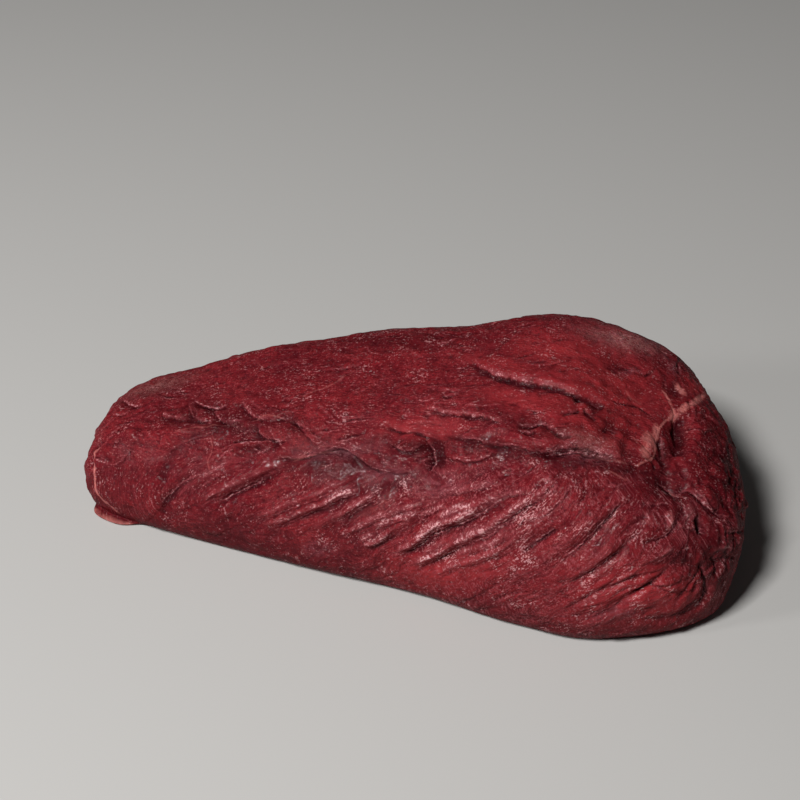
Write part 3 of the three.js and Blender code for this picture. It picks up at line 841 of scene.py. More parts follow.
claims = []
other_drawings = []
for side in OTHER_SIDES:
    plane = Plane(side["turn"])
    claims.append(np.maximum(normals @ plane.facing, 0) ** CLAIM_POWER)
    folds, creases = ruled_rows(side)
    drawing = Drawing(len(base))
    draw_folds(drawing, plane.flatten(base), folds)
    draw_creases(drawing, plane.flatten(base), with_arcs(creases))
    other_drawings.append(drawing)
    print("side turned", side["turn"], "degrees:", len(folds), "folds and", len(creases), "creases")
claims = (1 - near_share) * np.array(claims) / (np.sum(claims, axis=0) + 1e-6)

# %% One skin
shares = [near_share, *claims]
drawings = [near_drawing, *other_drawings]
relief = sum(share * drawing.height for share, drawing in zip(shares, drawings))
crest = sum(share * drawing.crest for share, drawing in zip(shares, drawings))
skin = Drawing(len(base))
everywhere = np.arange(len(base))
for share, drawing in zip(shares, drawings):
    for group in range(LINE_GROUPS):
        skin.add_line(group, everywhere, drawing.line[group], drawing.line_shows[group] * share)
print("marks: from", round(relief.min(), 2), "to", round(relief.max(), 2), "mm")

# %% [markdown]
# ## Gentle unevenness
# Between the marks, soft meat is never quite smooth. Three crossing waves make it swell and sink a little,
# and all relief dies out just above the flat belly, so that the cut rests cleanly.

# %% Waves
WAVE_HEIGHT = 0.5
WAVE_SUM = 1.7  # usual height of the three waves together
FLOOR_FADE = 9  # relief dies out over this height above the flat belly
# Millimetres that turn a wave by one radian along x, y and z, and where it starts.
WAVES = [(11, 17, math.inf, 1), (-23, 9, 14, 0), (13, -19, 8, 2)]

x, y, z = base.T
waves = sum(np.sin(x / a + y / b + z / c + start) for a, b, c, start in WAVES)
above_floor = smoothstep(0, FLOOR_FADE, z)
relief = (relief + WAVE_HEIGHT * waves / WAVE_SUM) * above_floor
print("waves rise and sink by up to", round(WAVE_HEIGHT * np.abs(waves).max() / WAVE_SUM, 2), "mm")

# %% [markdown]
# ## The grain
# Lean meat is bundles of fibres. On the near muscle they run along its folds, and elsewhere mostly along the
# cut. The finer relief and the colour follow them, so each point gets two grain coordinates in millimetres:
# one across the fibres and one along them. Between two folds they are blended by distance.

# %% Grain of the near muscle
GRAIN_REACH = 9  # distance over which a fold steers the grain
FOLDS_RUN = np.array([0.86, 0.51])  # direction in which most folds run


def fold_grain(places):
    """Grain across the near muscle's folds, and the direction of its fibres."""
    across = np.zeros(len(places))
    weight = np.full(len(places), 1e-9)
    heading = np.zeros((len(places), 2))
    offset = 0.0
    previous = None
    for row in NEAR_FOLDS:
        line = arc(row)
        if previous is not None:
            offset += np.mean(nearest(previous, line[ARC_MIDDLE])[0])
        right, _ = nearest(line, places)
        share = np.exp(-np.abs(right) / GRAIN_REACH)
        across += share * (offset + right)
        weight += share
        heading += share[:, None] * (line[-1] - line[0]) / np.linalg.norm(line[-1] - line[0])
        previous = line
    heading /= np.linalg.norm(heading, axis=1)[:, None]
    return across / weight, heading


fold_across, fold_heading = fold_grain(near_places)
fold_along = near_places @ FOLDS_RUN
print("grain across the near muscle:", np.round([fold_across.min(), fold_across.max()]), "mm")

# %% Where the near muscle lies
SEAM_LINE = np.array([[-150, 20], [-105, 30], [-60, 27], [-20, 22], [40, 26], [75, 25], [110, 16], [128, 4]])
SEAM_BLEND = 4  # half the width over which one muscle's grain turns into the other's
END_START, END_FULL = 92, 108  # the fibres of the thick end draw together between these values of u
END_HUB = np.array([106.0, 38.0])  # place that they draw together towards

above_seam = near_places[:, 1] - np.interp(near_places[:, 0], SEAM_LINE[:, 0], SEAM_LINE[:, 1])
near_muscle = near_share * smoothstep(-SEAM_BLEND, SEAM_BLEND, -above_seam)
end_share = near_share * smoothstep(END_START, END_FULL, near_places[:, 0])
spokes = near_places - END_HUB
spokes /= np.linalg.norm(spokes, axis=1)[:, None] + 1e-9
print("the near muscle takes up", round(100 * np.mean(near_muscle)), "% of the points")

# %% [markdown]
# ## Finer relief
# Close up, the surface has bundles of fibres, domed lobes of membrane, soft lumps, small pits and fine grit.
# Each is one noise with its own width and height in millimetres. Stretched along the grain, the same noise
# gives bundles instead of lumps.

# %% Bundles and lumps
GRAIN_SLANT = 0.15  # the grain's slant against the length of the cut
WANDER = 2.5  # the grain wanders by this much, over lumps of this width
WANDER_WIDTH = 12
BUNDLE_HEIGHT = 0.3
BUNDLE_WIDTH = 5  # across the fibres
FOLD_STRETCH = 5  # length of a bundle against its width, on the near muscle and elsewhere
LONG_STRETCH = 4
UPRIGHT_STRETCH = 1.1  # bundles elsewhere are a little flatter than wide
LUMP_HEIGHT = 0.5
LUMP_WIDTH = 17

wander = WANDER * layered_noise(base / WANDER_WIDTH, 5)
fold_points = np.column_stack([fold_across + wander, fold_along / FOLD_STRETCH, np.zeros(len(base))])
long_points = np.column_stack([x / LONG_STRETCH, y + GRAIN_SLANT * x + wander, z * UPRIGHT_STRETCH])
fold_bundles = bundles(fold_points / BUNDLE_WIDTH, 11)
long_bundles = bundles(long_points / BUNDLE_WIDTH, 12)
fine = BUNDLE_HEIGHT * (near_muscle * fold_bundles + (1 - near_muscle) * long_bundles)
fine += LUMP_HEIGHT * layered_noise(base / LUMP_WIDTH, 21)
print("bundles and lumps: from", round(fine.min(), 2), "to", round(fine.max(), 2), "mm")

# %% Lobes
LOBE_HEIGHT = 0.8
LOBE_WIDTH = 9
LOBE_MIDDLE = 0.8  # average of the lobes' values
LOBE_STRETCH = 1.7
LOBE_WANDER = 1.2
FAR_LOBES = 0.45  # share of the lobes' height away from the near muscle, and what its folds take off
FOLD_LOBES = -0.25
SEAM_LOBES = 0.9  # added share in a band above the seam, where the skin was torn off
BAND_START, BAND_END = (0, 5), (16, 28)
LOBE_FACING = (-0.3, 0.4)  # lobes fade out where the skin turns away from the near side

lobe_points = np.column_stack([x / LOBE_STRETCH + wander, y + GRAIN_SLANT * x + LOBE_WANDER * wander, z])
beside_seam = smoothstep(*BAND_START, above_seam) * (1 - smoothstep(*BAND_END, above_seam)) * near_share
lobe_share = FAR_LOBES + FOLD_LOBES * near_muscle + SEAM_LOBES * beside_seam
lobe_share *= smoothstep(*LOBE_FACING, normals @ near.facing)
fine += LOBE_HEIGHT * lobe_share * (lobes(lobe_points / LOBE_WIDTH, 51) - LOBE_MIDDLE)
print("with lobes: from", round(fine.min(), 2), "to", round(fine.max(), 2), "mm")

# %% Pits, grit and the crumpled end
PIT_DEPTH = 0.45
PIT_WIDTH = 3.2
PIT_NOISE = (0.15, 0.6)  # noise value at which a pit starts, and at which it is full
GRIT_HEIGHT = 0.14
GRIT_WIDTH = 2.2
END_LUMP_HEIGHT = 0.9  # the thick end is more crumpled than the rest
END_LUMP_WIDTH = 7.5

fine -= PIT_DEPTH * smoothstep(*PIT_NOISE, layered_noise(base / PIT_WIDTH, 41, 2))
fine += GRIT_HEIGHT * layered_noise(base / GRIT_WIDTH, 31, 2)
fine += END_LUMP_HEIGHT * end_share * layered_noise(base / END_LUMP_WIDTH, 61)
relief += fine * above_floor
print("finer relief: from", round(fine.min(), 2), "to", round(fine.max(), 2), "mm")

# %% [markdown]
# ## Small wrinkles and flakes
# Where membrane was pulled off, the lean shows many short nicks, and thin flakes with one raised edge. They
# are scattered with a seed, each turned roughly along the grain.

# %% Direction of the fibres
fibre = np.tile([1.0, GRAIN_SLANT, 0.0], (len(base), 1))
fold_fibre = fold_heading[:, :1] * near.right + fold_heading[:, 1:] * near.up
fibre = fibre * (1 - near_muscle[:, None]) + fold_fibre * near_muscle[:, None]
end_fibre = spokes[:, :1] * near.right + spokes[:, 1:] * near.up
fibre = fibre * (1 - end_share[:, None]) + end_fibre * end_share[:, None]


def around(centre, radius, turn, bend):
    """The points around one, with their distances along and to the left of a bent stroke there."""
    up = normals[centre]
    ahead = fibre[centre] - up * (fibre[centre] @ up)
    ahead /= np.linalg.norm(ahead)
    side = np.cross(up, ahead)
    left = side * math.cos(turn) - ahead * math.sin(turn)
    ahead = ahead * math.cos(turn) + side * math.sin(turn)
    off = base - base[centre]
    ids = np.flatnonzero(np.abs(off).max(axis=1) < radius)
    along = off[ids] @ ahead
    return ids, along, off[ids] @ left - bend * along**2


print("the fibres run along", np.round(fibre.mean(axis=0), 2), "on average")

# %% Wrinkles
WRINKLE_COUNT = 520
LOWEST_WRINKLE = 8  # height above the belly
WRINKLE_LENGTH = (2.5, 7)  # half length
WRINKLE_WIDTH = (0.7, 1.0)  # half width
WRINKLE_DEPTH = (0.25, 0.75)
WRINKLE_TURN = 0.6
WRINKLE_BEND = 0.02
WRINKLE_BOX = 1.6  # in half lengths
WRINKLE_LIP = {"share": 0.45, "place": 1.8, "half_width": 1.3}  # raised lip beside it, in half widths
ALONG_FOLDS = 0.5  # on the near muscle, wrinkles are longer and turned less by this share
# The near muscle is calmer than the rest, most of all at its thin end, between these values of u.
CALM_THIN_END = 0.75
CALM_LIMITS = (-20, 60)
CALM_FOLDS = 0.35

rng = np.random.RandomState(29)
high_up = np.flatnonzero(z > LOWEST_WRINKLE)
calm = 1 - CALM_THIN_END * near_muscle * (1 - smoothstep(*CALM_LIMITS, near_places[:, 0]))
calm *= 1 - CALM_FOLDS * near_muscle * (1 - end_share)
wrinkles = np.zeros(len(base))
for number, centre in enumerate(rng.choice(high_up, WRINKLE_COUNT)):
    length = rng.uniform(*WRINKLE_LENGTH) * (1 + ALONG_FOLDS * near_muscle[centre])
    width = rng.uniform(*WRINKLE_WIDTH)
    depth = rng.uniform(*WRINKLE_DEPTH) * calm[centre]
    turn = rng.uniform(-WRINKLE_TURN, WRINKLE_TURN)
    turn *= 1 - ALONG_FOLDS * near_muscle[centre] * (1 - end_share[centre])
    bend = rng.uniform(-WRINKLE_BEND, WRINKLE_BEND)
    ids, along, left = around(centre, WRINKLE_BOX * length, turn, bend)
    fade = np.exp(-((along / length) ** 4))
    lip = bell((left - WRINKLE_LIP["place"] * width) / (WRINKLE_LIP["half_width"] * width))
    wrinkles[ids] += depth * fade * (WRINKLE_LIP["share"] * lip - bell(left / width))
    skin.add_line(number % LINE_GROUPS, ids, left, fade * depth)
print(WRINKLE_COUNT, "wrinkles down to", round(wrinkles.min(), 2), "mm")

# %% Flakes
FLAKE_COUNT = 260
FLAKE_LENGTH = (3, 8)  # half length
FLAKE_RISE = (0.25, 0.75)
FLAKE_REACH = (2, 5)  # distance over which its raised side dies out
FLAKE_TURN = 0.9
FLAKE_BEND = (0.01, 0.07)
FLAKE_BOX = 2  # in half lengths
FLAKE_HALF_WIDTH = 0.5  # half width of the edge's own slope
FLAKE_UNDERCUT = {"share": 0.4, "place": -0.9, "half_width": 0.9}
FLAKE_LINE_PLACE = 0.6
FLAKE_LINE_SHARE = 0.8
LOWEST, HIGHEST = -1.8, 1.2  # limits of wrinkles and flakes where they meet

for number, centre in enumerate(rng.choice(high_up, FLAKE_COUNT)):
    length = rng.uniform(*FLAKE_LENGTH)
    rise = rng.uniform(*FLAKE_RISE) * calm[centre]
    reach = rng.uniform(*FLAKE_REACH)
    turn = rng.uniform(-FLAKE_TURN, FLAKE_TURN)
    ids, along, left = around(centre, FLAKE_BOX * length, turn, rng.uniform(*FLAKE_BEND))
    fade = np.exp(-((along / length) ** 4))
    shape = smoothstep(-FLAKE_HALF_WIDTH, FLAKE_HALF_WIDTH, left) * np.exp(-np.maximum(left, 0) / reach)
    undercut = bell((left - FLAKE_UNDERCUT["place"]) / FLAKE_UNDERCUT["half_width"])
    wrinkles[ids] += rise * fade * (shape - FLAKE_UNDERCUT["share"] * undercut)
    skin.add_line(number % LINE_GROUPS, ids, -left - FLAKE_LINE_PLACE, FLAKE_LINE_SHARE * fade * rise)
relief += np.clip(wrinkles, LOWEST, HIGHEST) * above_floor
print("wrinkles and flakes: relief from", round(relief.min(), 2), "to", round(relief.max(), 2), "mm")

# %% [markdown]
# ## The shaped skin
# Each point moves out along the smooth form's own normal by its relief. Relief makes the cut a little larger,
# so the whole piece is moved until its box has the same middle and floor as the CAD model's.

# %% Shaped skin
shaped = base + normals * relief[:, None]
cad_low, cad_high = (np.array(corner) / MM for corner in CAD_BOX)
own_low, own_high = shaped.min(axis=0), shaped.max(axis=0)
shift = (cad_low + cad_high) / 2 - (own_low + own_high) / 2
shift[2] = -own_low[2]
write_points(shoulder, (shaped + shift) * MM)
deselect_all()
shoulder.select_set(True)
bpy.context.view_layer.objects.active = shoulder
bpy.ops.object.shade_smooth()
print("shaped size:", np.round(own_high - own_low, 1), "mm, moved by", np.round(shift, 2), "mm")

# %% [markdown]
# ## What the finish follows
# Some of the finish belongs to places: hollows get painted shade, crests and swells get painted light, film
# and fat lie where they do in the photo. These are kept as attributes on the points, so that the pattern
# stays on the meat from any side. An image would do it too, but would need an unwrapped mesh and a file
# beside the script.

# %% Keeping a value on the skin
kept = []


def keep(name, values):
    """Stores one number for each point under a name that materials can read."""
    attribute = shoulder.data.attributes.new(name, "FLOAT", "POINT")
    attribute.data.foreach_set("value", values.astype(np.float32))
    kept.append(name)


GLISTEN_START, GLISTEN_FULL = -45, 20  # the near muscle glistens more and more between these values of u

keep("near_muscle", near_muscle)
keep("glistening", near_muscle * smoothstep(GLISTEN_START, GLISTEN_FULL, near_places[:, 0]))
keep("crest", crest)
keep("grain_across", fold_across + wander)
keep("grain_along", fold_along)
for group in range(LINE_GROUPS):
    keep(f"line_{group}", skin.line[group])
    keep(f"line_{group}_shows", skin.line_shows[group])
print("kept on the skin:", ", ".join(kept))

# %% Hollows and crests
NARROW_ROUNDS = 5  # rounds of averaging: a few find wrinkles, and many find whole folds
BROAD_ROUNDS = 40

pairs = np.empty(len(shoulder.data.edges) * 2, int)
shoulder.data.edges.foreach_get("vertices", pairs)
pairs = pairs.reshape(-1, 2)
degree = np.bincount(pairs.ravel(), minlength=len(base))


def averaged(values, rounds):
    """Each point's value, averaged over its neighbours a few times."""
    for _ in range(rounds):
        total = np.bincount(pairs[:, 0], values[pairs[:, 1]], len(base))
        total += np.bincount(pairs[:, 1], values[pairs[:, 0]], len(base))
        values = 0.5 * values + 0.5 * total / degree
    return values


# These heights steer painted shade in hollows and painted light on swells.
for name, rounds in (("narrow_height", NARROW_ROUNDS), ("broad_height", BROAD_ROUNDS)):
    height = relief - averaged(relief, rounds)
    keep(name, height)
    print(name, "in mm:", np.round(np.percentile(height, [1, 10, 50, 90, 99]), 2))

# %% [markdown]
# ## Film, lighter lean and painted shade
# Silvery film lies over the seam and the lobes. Where it has dried, it is paler and dull. Lean is lighter in
# a few patches, and lean in deep places gets painted shade. Each of these is a few soft oval patches. A row
# holds the patch's centre u, v, its radii and its turn in degrees.

# %% Patches
PATCH_GAIN = 1.1  # above 1, so that the middle of a patch is fully covered


def patches(rows):
    """How much of each place the patches cover, from 0 to 1."""
    covered = np.zeros(len(base))
    for u, v, long, short, turn in rows:
        a = math.radians(turn)
        off = near_places - [u, v]
        along = (off @ [math.cos(a), math.sin(a)]) / long
        across = (off @ [-math.sin(a), math.cos(a)]) / short
        covered = np.maximum(covered, PATCH_GAIN * bell(np.hypot(along, across)))
    return np.minimum(covered, 1) * near_share


FILM = [
    [92, 79, 20, 5, -12],
    [69, 31, 9, 3.6, -10],
    [-35, 30, 15, 3.2, 6],
    [-13, 22, 10, 3.2, -5],
    [9, 18, 9, 4.5, 0],
    [-42, -10, 6, 2.7, 0],
    [80, -34, 8, 3.2, 10],
    [110, 67, 3, 3, 0],
    [90, 65, 4, 1.3, 20],
]
keep("film", patches(FILM))
print("film lies in", len(FILM), "patches")

# %% Dry film
THREADY_SHARE = 0.6  # the thready patches are half dry
DRY = [
    [90, 79, 15, 3.6, -12],
]
THREADY = [
    [70, 34.5, 10, 2.6, -14],
    [-117, 61, 15, 3, 15],
]
keep("dry", np.maximum(patches(DRY), THREADY_SHARE * patches(THREADY)))
print("dry film lies in", len(DRY) + len(THREADY), "patches")

# %% Lighter lean
LIGHTER_PATCHES = [
    [38, 65.5, 17, 3.4, -17],
    [76, 54, 25, 19, 0],
    [61, 73, 20, 6.3, 0],
    [119, 58, 7, 4.5, 0],
    [90, -25, 32, 15, 0],
    [14, -18, 27, 9, 15],
    [0, 40, 16, 4, 0],
    [94, 35, 4, 8, 0],
    [42, 52, 18, 4.5, -8],
]
keep("lighter_patch", patches(LIGHTER_PATCHES))
print("fresh lean shows in", len(LIGHTER_PATCHES), "patches")

# %% Painted shade
LOW_SHADE = 0.7  # the foot of the cut is shaded by this share, and less and less between these heights
LOW_SHADE_HEIGHTS = (3, 22)
SHADED = [
    [-34, 23, 17, 4, 10],
    [-8, 18, 10, 3, 18],
    [61, 28, 16, 2.4, -2],
    [-64, 32, 14, 2.4, -5],
    [-92, 50, 10, 5, 0],
    [-82, 45, 8, 6, 20],
    [-9, 79, 34, 4.5, 0],
    [106, 7, 4, 5.4, 0],
    [5, 29, 5, 6.3, 20],
    [-120, 59, 20, 4.4, 15],
    [108.6, 57.4, 2.6, 4.5, 15],
    [86, 66.8, 5, 2.5, 0],
]
# Deepest painted shade: in the seam, the slit, the pit and other deep places.
DEEPEST_SHADE = [
    [4, 30.5, 7, 3.5, -35],
    [-8, 34, 10, 2.6, -10],
    [26, 33.5, 15, 3.2, 0],
    [49, 30, 18, 3.4, -8],
    [66, 26.6, 15, 2.4, -4],
    [84, 24.5, 12, 3, -10],
    [50, 40, 14, 3, -18],
    [109, 39, 3, 8, 0],
    [101, 30, 3, 8, 0],
    [103, 15, 10, 9, 0],
    [92, 24, 12, 4, -20],
    [-28, 27.5, 11, 3, -18],
    [-42, 26.5, 14, 3, 10],
    [127, 24, 8, 20, 0],
    [120, -14, 9, 15, 0],
    [104, -12, 10, 10, 0],
    [-80, 41, 16, 4, 0],
    [-52, 41.5, 12, 4, -25],
    [-100, 46, 12, 4, 10],
    [75, 46, 12, 4, -20],
]
keep("shaded", np.maximum(patches(SHADED), LOW_SHADE * (1 - smoothstep(*LOW_SHADE_HEIGHTS, z))))
keep("deepest_shade", patches(DEEPEST_SHADE))
print("lean is shaded in", len(SHADED), "patches and damp in", len(DEEPEST_SHADE))

# %% [markdown]
# ## Fat
# Little fat is left: thin sheets around the slit, a flap under the thin end and a few strands along the
# creases. A strand is drawn like a crease, as a signed distance to its line, so that the material can make it
# as thin as it is in the photo, which is narrower than the mesh's cells.

# %% Sheets of fat
FLAP_FAT = {"full_reach": 3, "height": 4}  # it covers the flap where that stands out this far, up to a height
FAT_SHEETS = [
    [95.2, 36, 3.6, 3.2, 0],
    [93.2, 31.8, 2.2, 3.2, -30],
    [98, 39.5, 1.5, 3.2, 0],
    [106.4, 46.8, 2.6, 2, 20],
    [111, 49, 4, 1.6, 25],
    [118.5, 52.6, 7.5, 1.5, 30],
    [111.3, 57.6, 4, 1.2, -58],
]
keep("fat_sheet", patches(FAT_SHEETS))
keep("fat", np.minimum(flap_reach(base) / FLAP_FAT["full_reach"], 1) * (z < FLAP_FAT["height"]))
print("fat lies in", len(FAT_SHEETS), "sheets")

# %% Strands of fat
# Half width, group and points. Strands that cross or touch are in different groups.
STRANDS = [
    [0.6, 0, [[107.2, 47.4], [105.2, 52], [102.6, 57.5]]],
    [0.6, 0, [[106.5, 46.3], [102.3, 44.2], [99, 40], [97.5, 35], [96.8, 31.5], [93.6, 28.2], [89, 25.8]]],
    [0.5, 1, [[88.4, 37.9], [90.9, 33.8], [93.2, 30.2]]],
    [0.5, 0, [[102.5, 17], [105, 15], [107.5, 13]]],
    [0.6, 0, [[-140.5, 33.5], [-143, 27.5], [-143, 19.5], [-142, 12.5], [-131.5, 3]]],
    [0.4, 0, [[-50, 53], [-43.5, 56.5], [-37, 59], [-25.5, 66.5]]],
    [0.4, 0, [[-106, 38.5], [-96, 41.5], [-84.5, 43], [-75.5, 43]]],
    [0.4, 1, [[-71.5, 43.5], [-66, 45.5], [-60.5, 45.5], [-54, 44]]],
    [0.4, 1, [[-58.5, 28.5], [-50, 27.5], [-43, 32], [-36.5, 32.5]]],
    [0.4, 0, [[-53.5, 26], [-47, 28], [-40.5, 30], [-34, 31]]],
    [0.4, 1, [[-89.5, 37], [-88.5, 31], [-90, 25.5], [-88.5, 21.5]]],
    [0.5, 0, [[74, 31], [80.5, 29], [86.5, 26.5]]],
    [0.5, 1, [[74.5, 25.5], [80.5, 22.5], [85, 19]]],
    [0.5, 0, [[99.5, 7], [100, 3], [98.5, -1]]],
    [0.5, 1, [[87.5, 57.5], [89.5, 54], [94, 51]]],
]
THIN_STRAND = 0.55  # strands narrower than this are see-through
THIN_SHOWS = 0.25
STRAND_BOX = 4  # millimetres beyond which a strand isn't worked out
STRAND_FADE = (1.8, 3)  # distances up to which it shows fully, and beyond which it doesn't


def strand_marks(group):
    """Signed distance to the nearest strand in half widths, and how strongly it shows."""
    signed = np.full(len(base), NO_LINE)
    strength = np.zeros(len(base))
    for half_width, own_group, points in STRANDS:
        if own_group != group:
            continue
        ids, right, fade = beside(spline(points), near_places, STRAND_BOX)
        shows = (1 - smoothstep(*STRAND_FADE, np.abs(right))) * fade * near_share[ids]
        shows *= THIN_SHOWS if half_width < THIN_STRAND else 1
        closer = shows > strength[ids]
        signed[ids] = np.where(closer, right / half_width, signed[ids])
        strength[ids] = np.maximum(shows, strength[ids])
    return signed, strength


for group, name in enumerate(("strand_a", "strand_b")):
    signed, strength = strand_marks(group)
    keep(name, signed)
    keep(name + "_strength", strength)
print(len(STRANDS), "strands of fat")

# %% [markdown]
# ## The finish
# Raw lean beef: a deep, slightly bluish red under a thin wet film. Light goes a few millimetres into it, so
# edges glow a little and shadows stay red. Fine pale fibres and silvery film lie on top. One shader with
# subsurface light and a thin clear coat does this, and its colour is built up in layers, as on the meat, with
# painted shade in hollows and cracks and painted highlights on crests.


# %% Colours
def linear(hex_colour):
    """An sRGB hex colour as the linear numbers that a shader needs."""
    parts = [int(hex_colour[i : i + 2], 16) / 255 for i in (1, 3, 5)]
    return [c / 12.92 if c <= 0.04045 else ((c + 0.055) / 1.055) ** 2.4 for c in parts] + [1]


LEAN = linear("#5e131a")  # the deep red that most of it shows
BRIGHT_LEAN_AND_LIGHT = linear("#791e23")  # where the lean has taken up air, and painted light on swells
LIGHTER_LEAN = linear("#8c282c")  # lighter lean in a few patches
DEEP_LEAN_AND_SHADE = linear("#370a10")  # the gaps between fibres and mottling, and painted shade in hollows, creases, valleys, dips and at the foot of the cut
DEEPEST_SHADE_RED = linear("#30080c")  # painted shade, darkest, in the seam, the slit and other deep places
CRACK_SHADE_RED = linear("#220508")  # painted shade in the cracks
SILVER_FILM = linear("#743f47")  # bluish, over the red
DRY_FILM = linear("#93625e")  # brownish and dull
PALE_FIBRE_AND_SHEEN = linear("#90464c")  # threads of membrane, and painted sheen on crests and rims
PAINTED_SHINE = linear("#cc989a")  # painted highlights: shine on crests and wet edges, and specks
FAT = linear("#bf6f6a")  # pale, and stained by the lean around it
THIN_FAT = linear("#a8625c")  # lean shows through it
print("lean is", np.round(LEAN[:3], 3), "as linear numbers")

# %% Raw beef
beef = bpy.data.materials.new("raw_beef")
beef.use_nodes = True
tree = beef.node_tree
tree.nodes.clear()


def add_node(kind, inputs=(), output=0, **settings):
    """Adds a node, sets or links its inputs, by place or by name, and gives back one of its outputs."""
    node = tree.nodes.new("ShaderNode" + kind)
    for name, value in settings.items():
        setattr(node, name, value)
    for name, value in inputs.items() if isinstance(inputs, dict) else enumerate(inputs):
        if isinstance(value, bpy.types.NodeSocket):
            tree.links.new(value, node.inputs[name])
        else:
            node.inputs[name].default_value = value
    return node.outputs[output] if len(node.outputs) else None


on_skin = {name: add_node("Attribute", output="Fac", attribute_name=name) for name in kept}
place = add_node("TexCoord", output="Object")
millimetres = add_node("Mapping", {"Vector": place, "Scale": [1 / MM] * 3})
print("raw beef reads", len(on_skin), "values on the skin")

# %% [markdown]
# ### Patterns of raw beef
# Nothing on meat is even, so every finish is broken up by a noise. Its lumps have the size that the finish
# has on the real thing: colour changes over two or three centimetres, mottling over some millimetres.

# %% Patterns
# Width of the lumps in millimetres, detail, roughness and distortion.
PATTERNS = {
    "broad": (24, 4, 0.6, 0),
    "mottle": (5, 5, 0.65, 0),
    "specks": (10 / 13, 1, 0.55, 0),
    "web": (2, 3, 0.6, 1),
    "web_places": (8, 3, 0.55, 0),
    "thread_places": (10, 3, 0.55, 0),
    "net": (20 / 7, 2, 0.6, 1.5),
    "deepest_shade_places": (6, 3, 0.55, 0),
    "wobble": (2, 3, 0.55, 0),
    "line_places": (5, 3, 0.55, 0),
    "shine_places": (9, 3, 0.55, 0),
    "crest_places": (7, 2, 0.55, 0),
    "fat_places": (5 / 3, 3, 0.6, 0),
    "rough_places": (12, 3, 0.55, 0),
}
pattern = {}
for name, (width, detail, roughness, distortion) in PATTERNS.items():
    pattern[name] = add_node("TexNoise", {
        "Vector": millimetres,
        "Scale": 1 / width,
        "Detail": detail,
        "Roughness": roughness,
        "Distortion": distortion,
    })
print(len(pattern), "patterns")

# %% [markdown]
# ### Fibres
# Real fibres are a tenth of a millimetre wide, too fine to show in the render. They are drawn coarser, as
# bundles about a millimetre wide and dashes of half a millimetre, which is as coarse as it takes to see them.
# The noise is squeezed across the grain, in the folds' own coordinates on the near muscle.

# %% Fibres
folds_vector = add_node("CombineXYZ", (on_skin["grain_across"], on_skin["grain_along"]))
# Vector, its turn, lumps in ten millimetres along each of its axes, roughness and distortion.
GRAINS = {
    "fold_fibres": (folds_vector, 0, (7.5, 1.5, 10), 0.5, 0.3),
    "long_fibres": (millimetres, -GRAIN_SLANT, (3, 7, 7), 0.5, 1.2),
    "fold_dashes": (folds_vector, 0, (15, 4.5, 10), 0.55, 0),
    "long_dashes": (millimetres, -GRAIN_SLANT, (5, 13, 13), 0.55, 0),
    "cross_dashes": (folds_vector, 0, (8.5, 12, 10), 0.5, 0.9),
}
for name, (vector, turn, lumps, roughness, distortion) in GRAINS.items():
    squeezed = {"Vector": vector, "Rotation": (0, 0, turn), "Scale": [count / 10 for count in lumps]}
    pattern[name] = add_node("TexNoise", {
        "Vector": add_node("Mapping", squeezed),
        "Scale": 1,
        "Detail": 1,
        "Roughness": roughness,
        "Distortion": distortion,
    })

# A Mix node takes the share at 0, then two numbers at 2 and 3, or two colours at 6 and 7.
muscle = on_skin["near_muscle"]
on_crest = add_node("MapRange", (on_skin["crest"], 0.15, 0.5, 0, 1))
fibres = add_node("Mix", {0: muscle, 2: pattern["long_fibres"], 3: pattern["fold_fibres"]})
dashes = add_node("Mix", {0: muscle, 2: pattern["long_dashes"], 3: pattern["fold_dashes"]})
specks = add_node("Mix", {0: on_crest, 2: pattern["specks"], 3: pattern["cross_dashes"]})
fine_grain = add_node("Mix", {0: 0.5, 2: dashes, 3: specks})
print(len(GRAINS), "grains")

# %% [markdown]
# ### Layers
# Each layer is a colour and how much of each place it covers. The cover is a product: where the finish lies,
# times a pattern that breaks it up. A factor is a number, a value, or a value with its ramp: the value's way
# from the first number to the second is turned into the third to the fourth.


# %% Lean
def cover(*factors):
    """The product of the factors."""
    product = None
    for factor in factors:
        if isinstance(factor, tuple):
            factor = add_node("MapRange", factor)
        product = factor if product is None else add_node("Math", (product, factor), operation="MULTIPLY")
    return product


layers = [
    (BRIGHT_LEAN_AND_LIGHT, cover((pattern["broad"], 0.35, 0.65, 0, 1))),  # broad, soft changes of red
    (DEEP_LEAN_AND_SHADE, cover((pattern["mottle"], 0.5, 0.3, 0, 0.6))),  # mottling
]
print(len(layers), "layers with bright and deep lean")


# %% Threads and grain
def threads(value, half_width):
    """Thin curved lines where a pattern passes its middle."""
    off_middle = add_node("Math", (value, 0.5), operation="SUBTRACT")
    distance = add_node("Math", (off_middle,), operation="ABSOLUTE")
    return add_node("MapRange", (distance, 0, half_width, 1, 0))


web_shows = add_node("MapRange", (pattern["web_places"], 0.42, 0.6, 0.1, 0.8))
web_shows = add_node("Math", (web_shows, on_skin["film"]), operation="MAXIMUM")
web = cover(threads(pattern["web"], 0.03), web_shows)
grain_threads = cover(threads(fibres, 0.04), (pattern["thread_places"], 0.4, 0.6, 0.1, 0.8))
pale_threads = add_node("Math", (web, grain_threads), operation="MAXIMUM")
layers += [
    (PALE_FIBRE_AND_SHEEN, cover(pale_threads, 0.4)),  # thin pale threads
    (DEEP_LEAN_AND_SHADE, cover((fine_grain, 0.5, 0.38, 0, 0.55))),  # dashes and specks
    (DEEP_LEAN_AND_SHADE, cover((fibres, 0.5, 0.36, 0, 0.35))),  # gaps between bundles
]
print(len(layers), "layers with threads and grain")

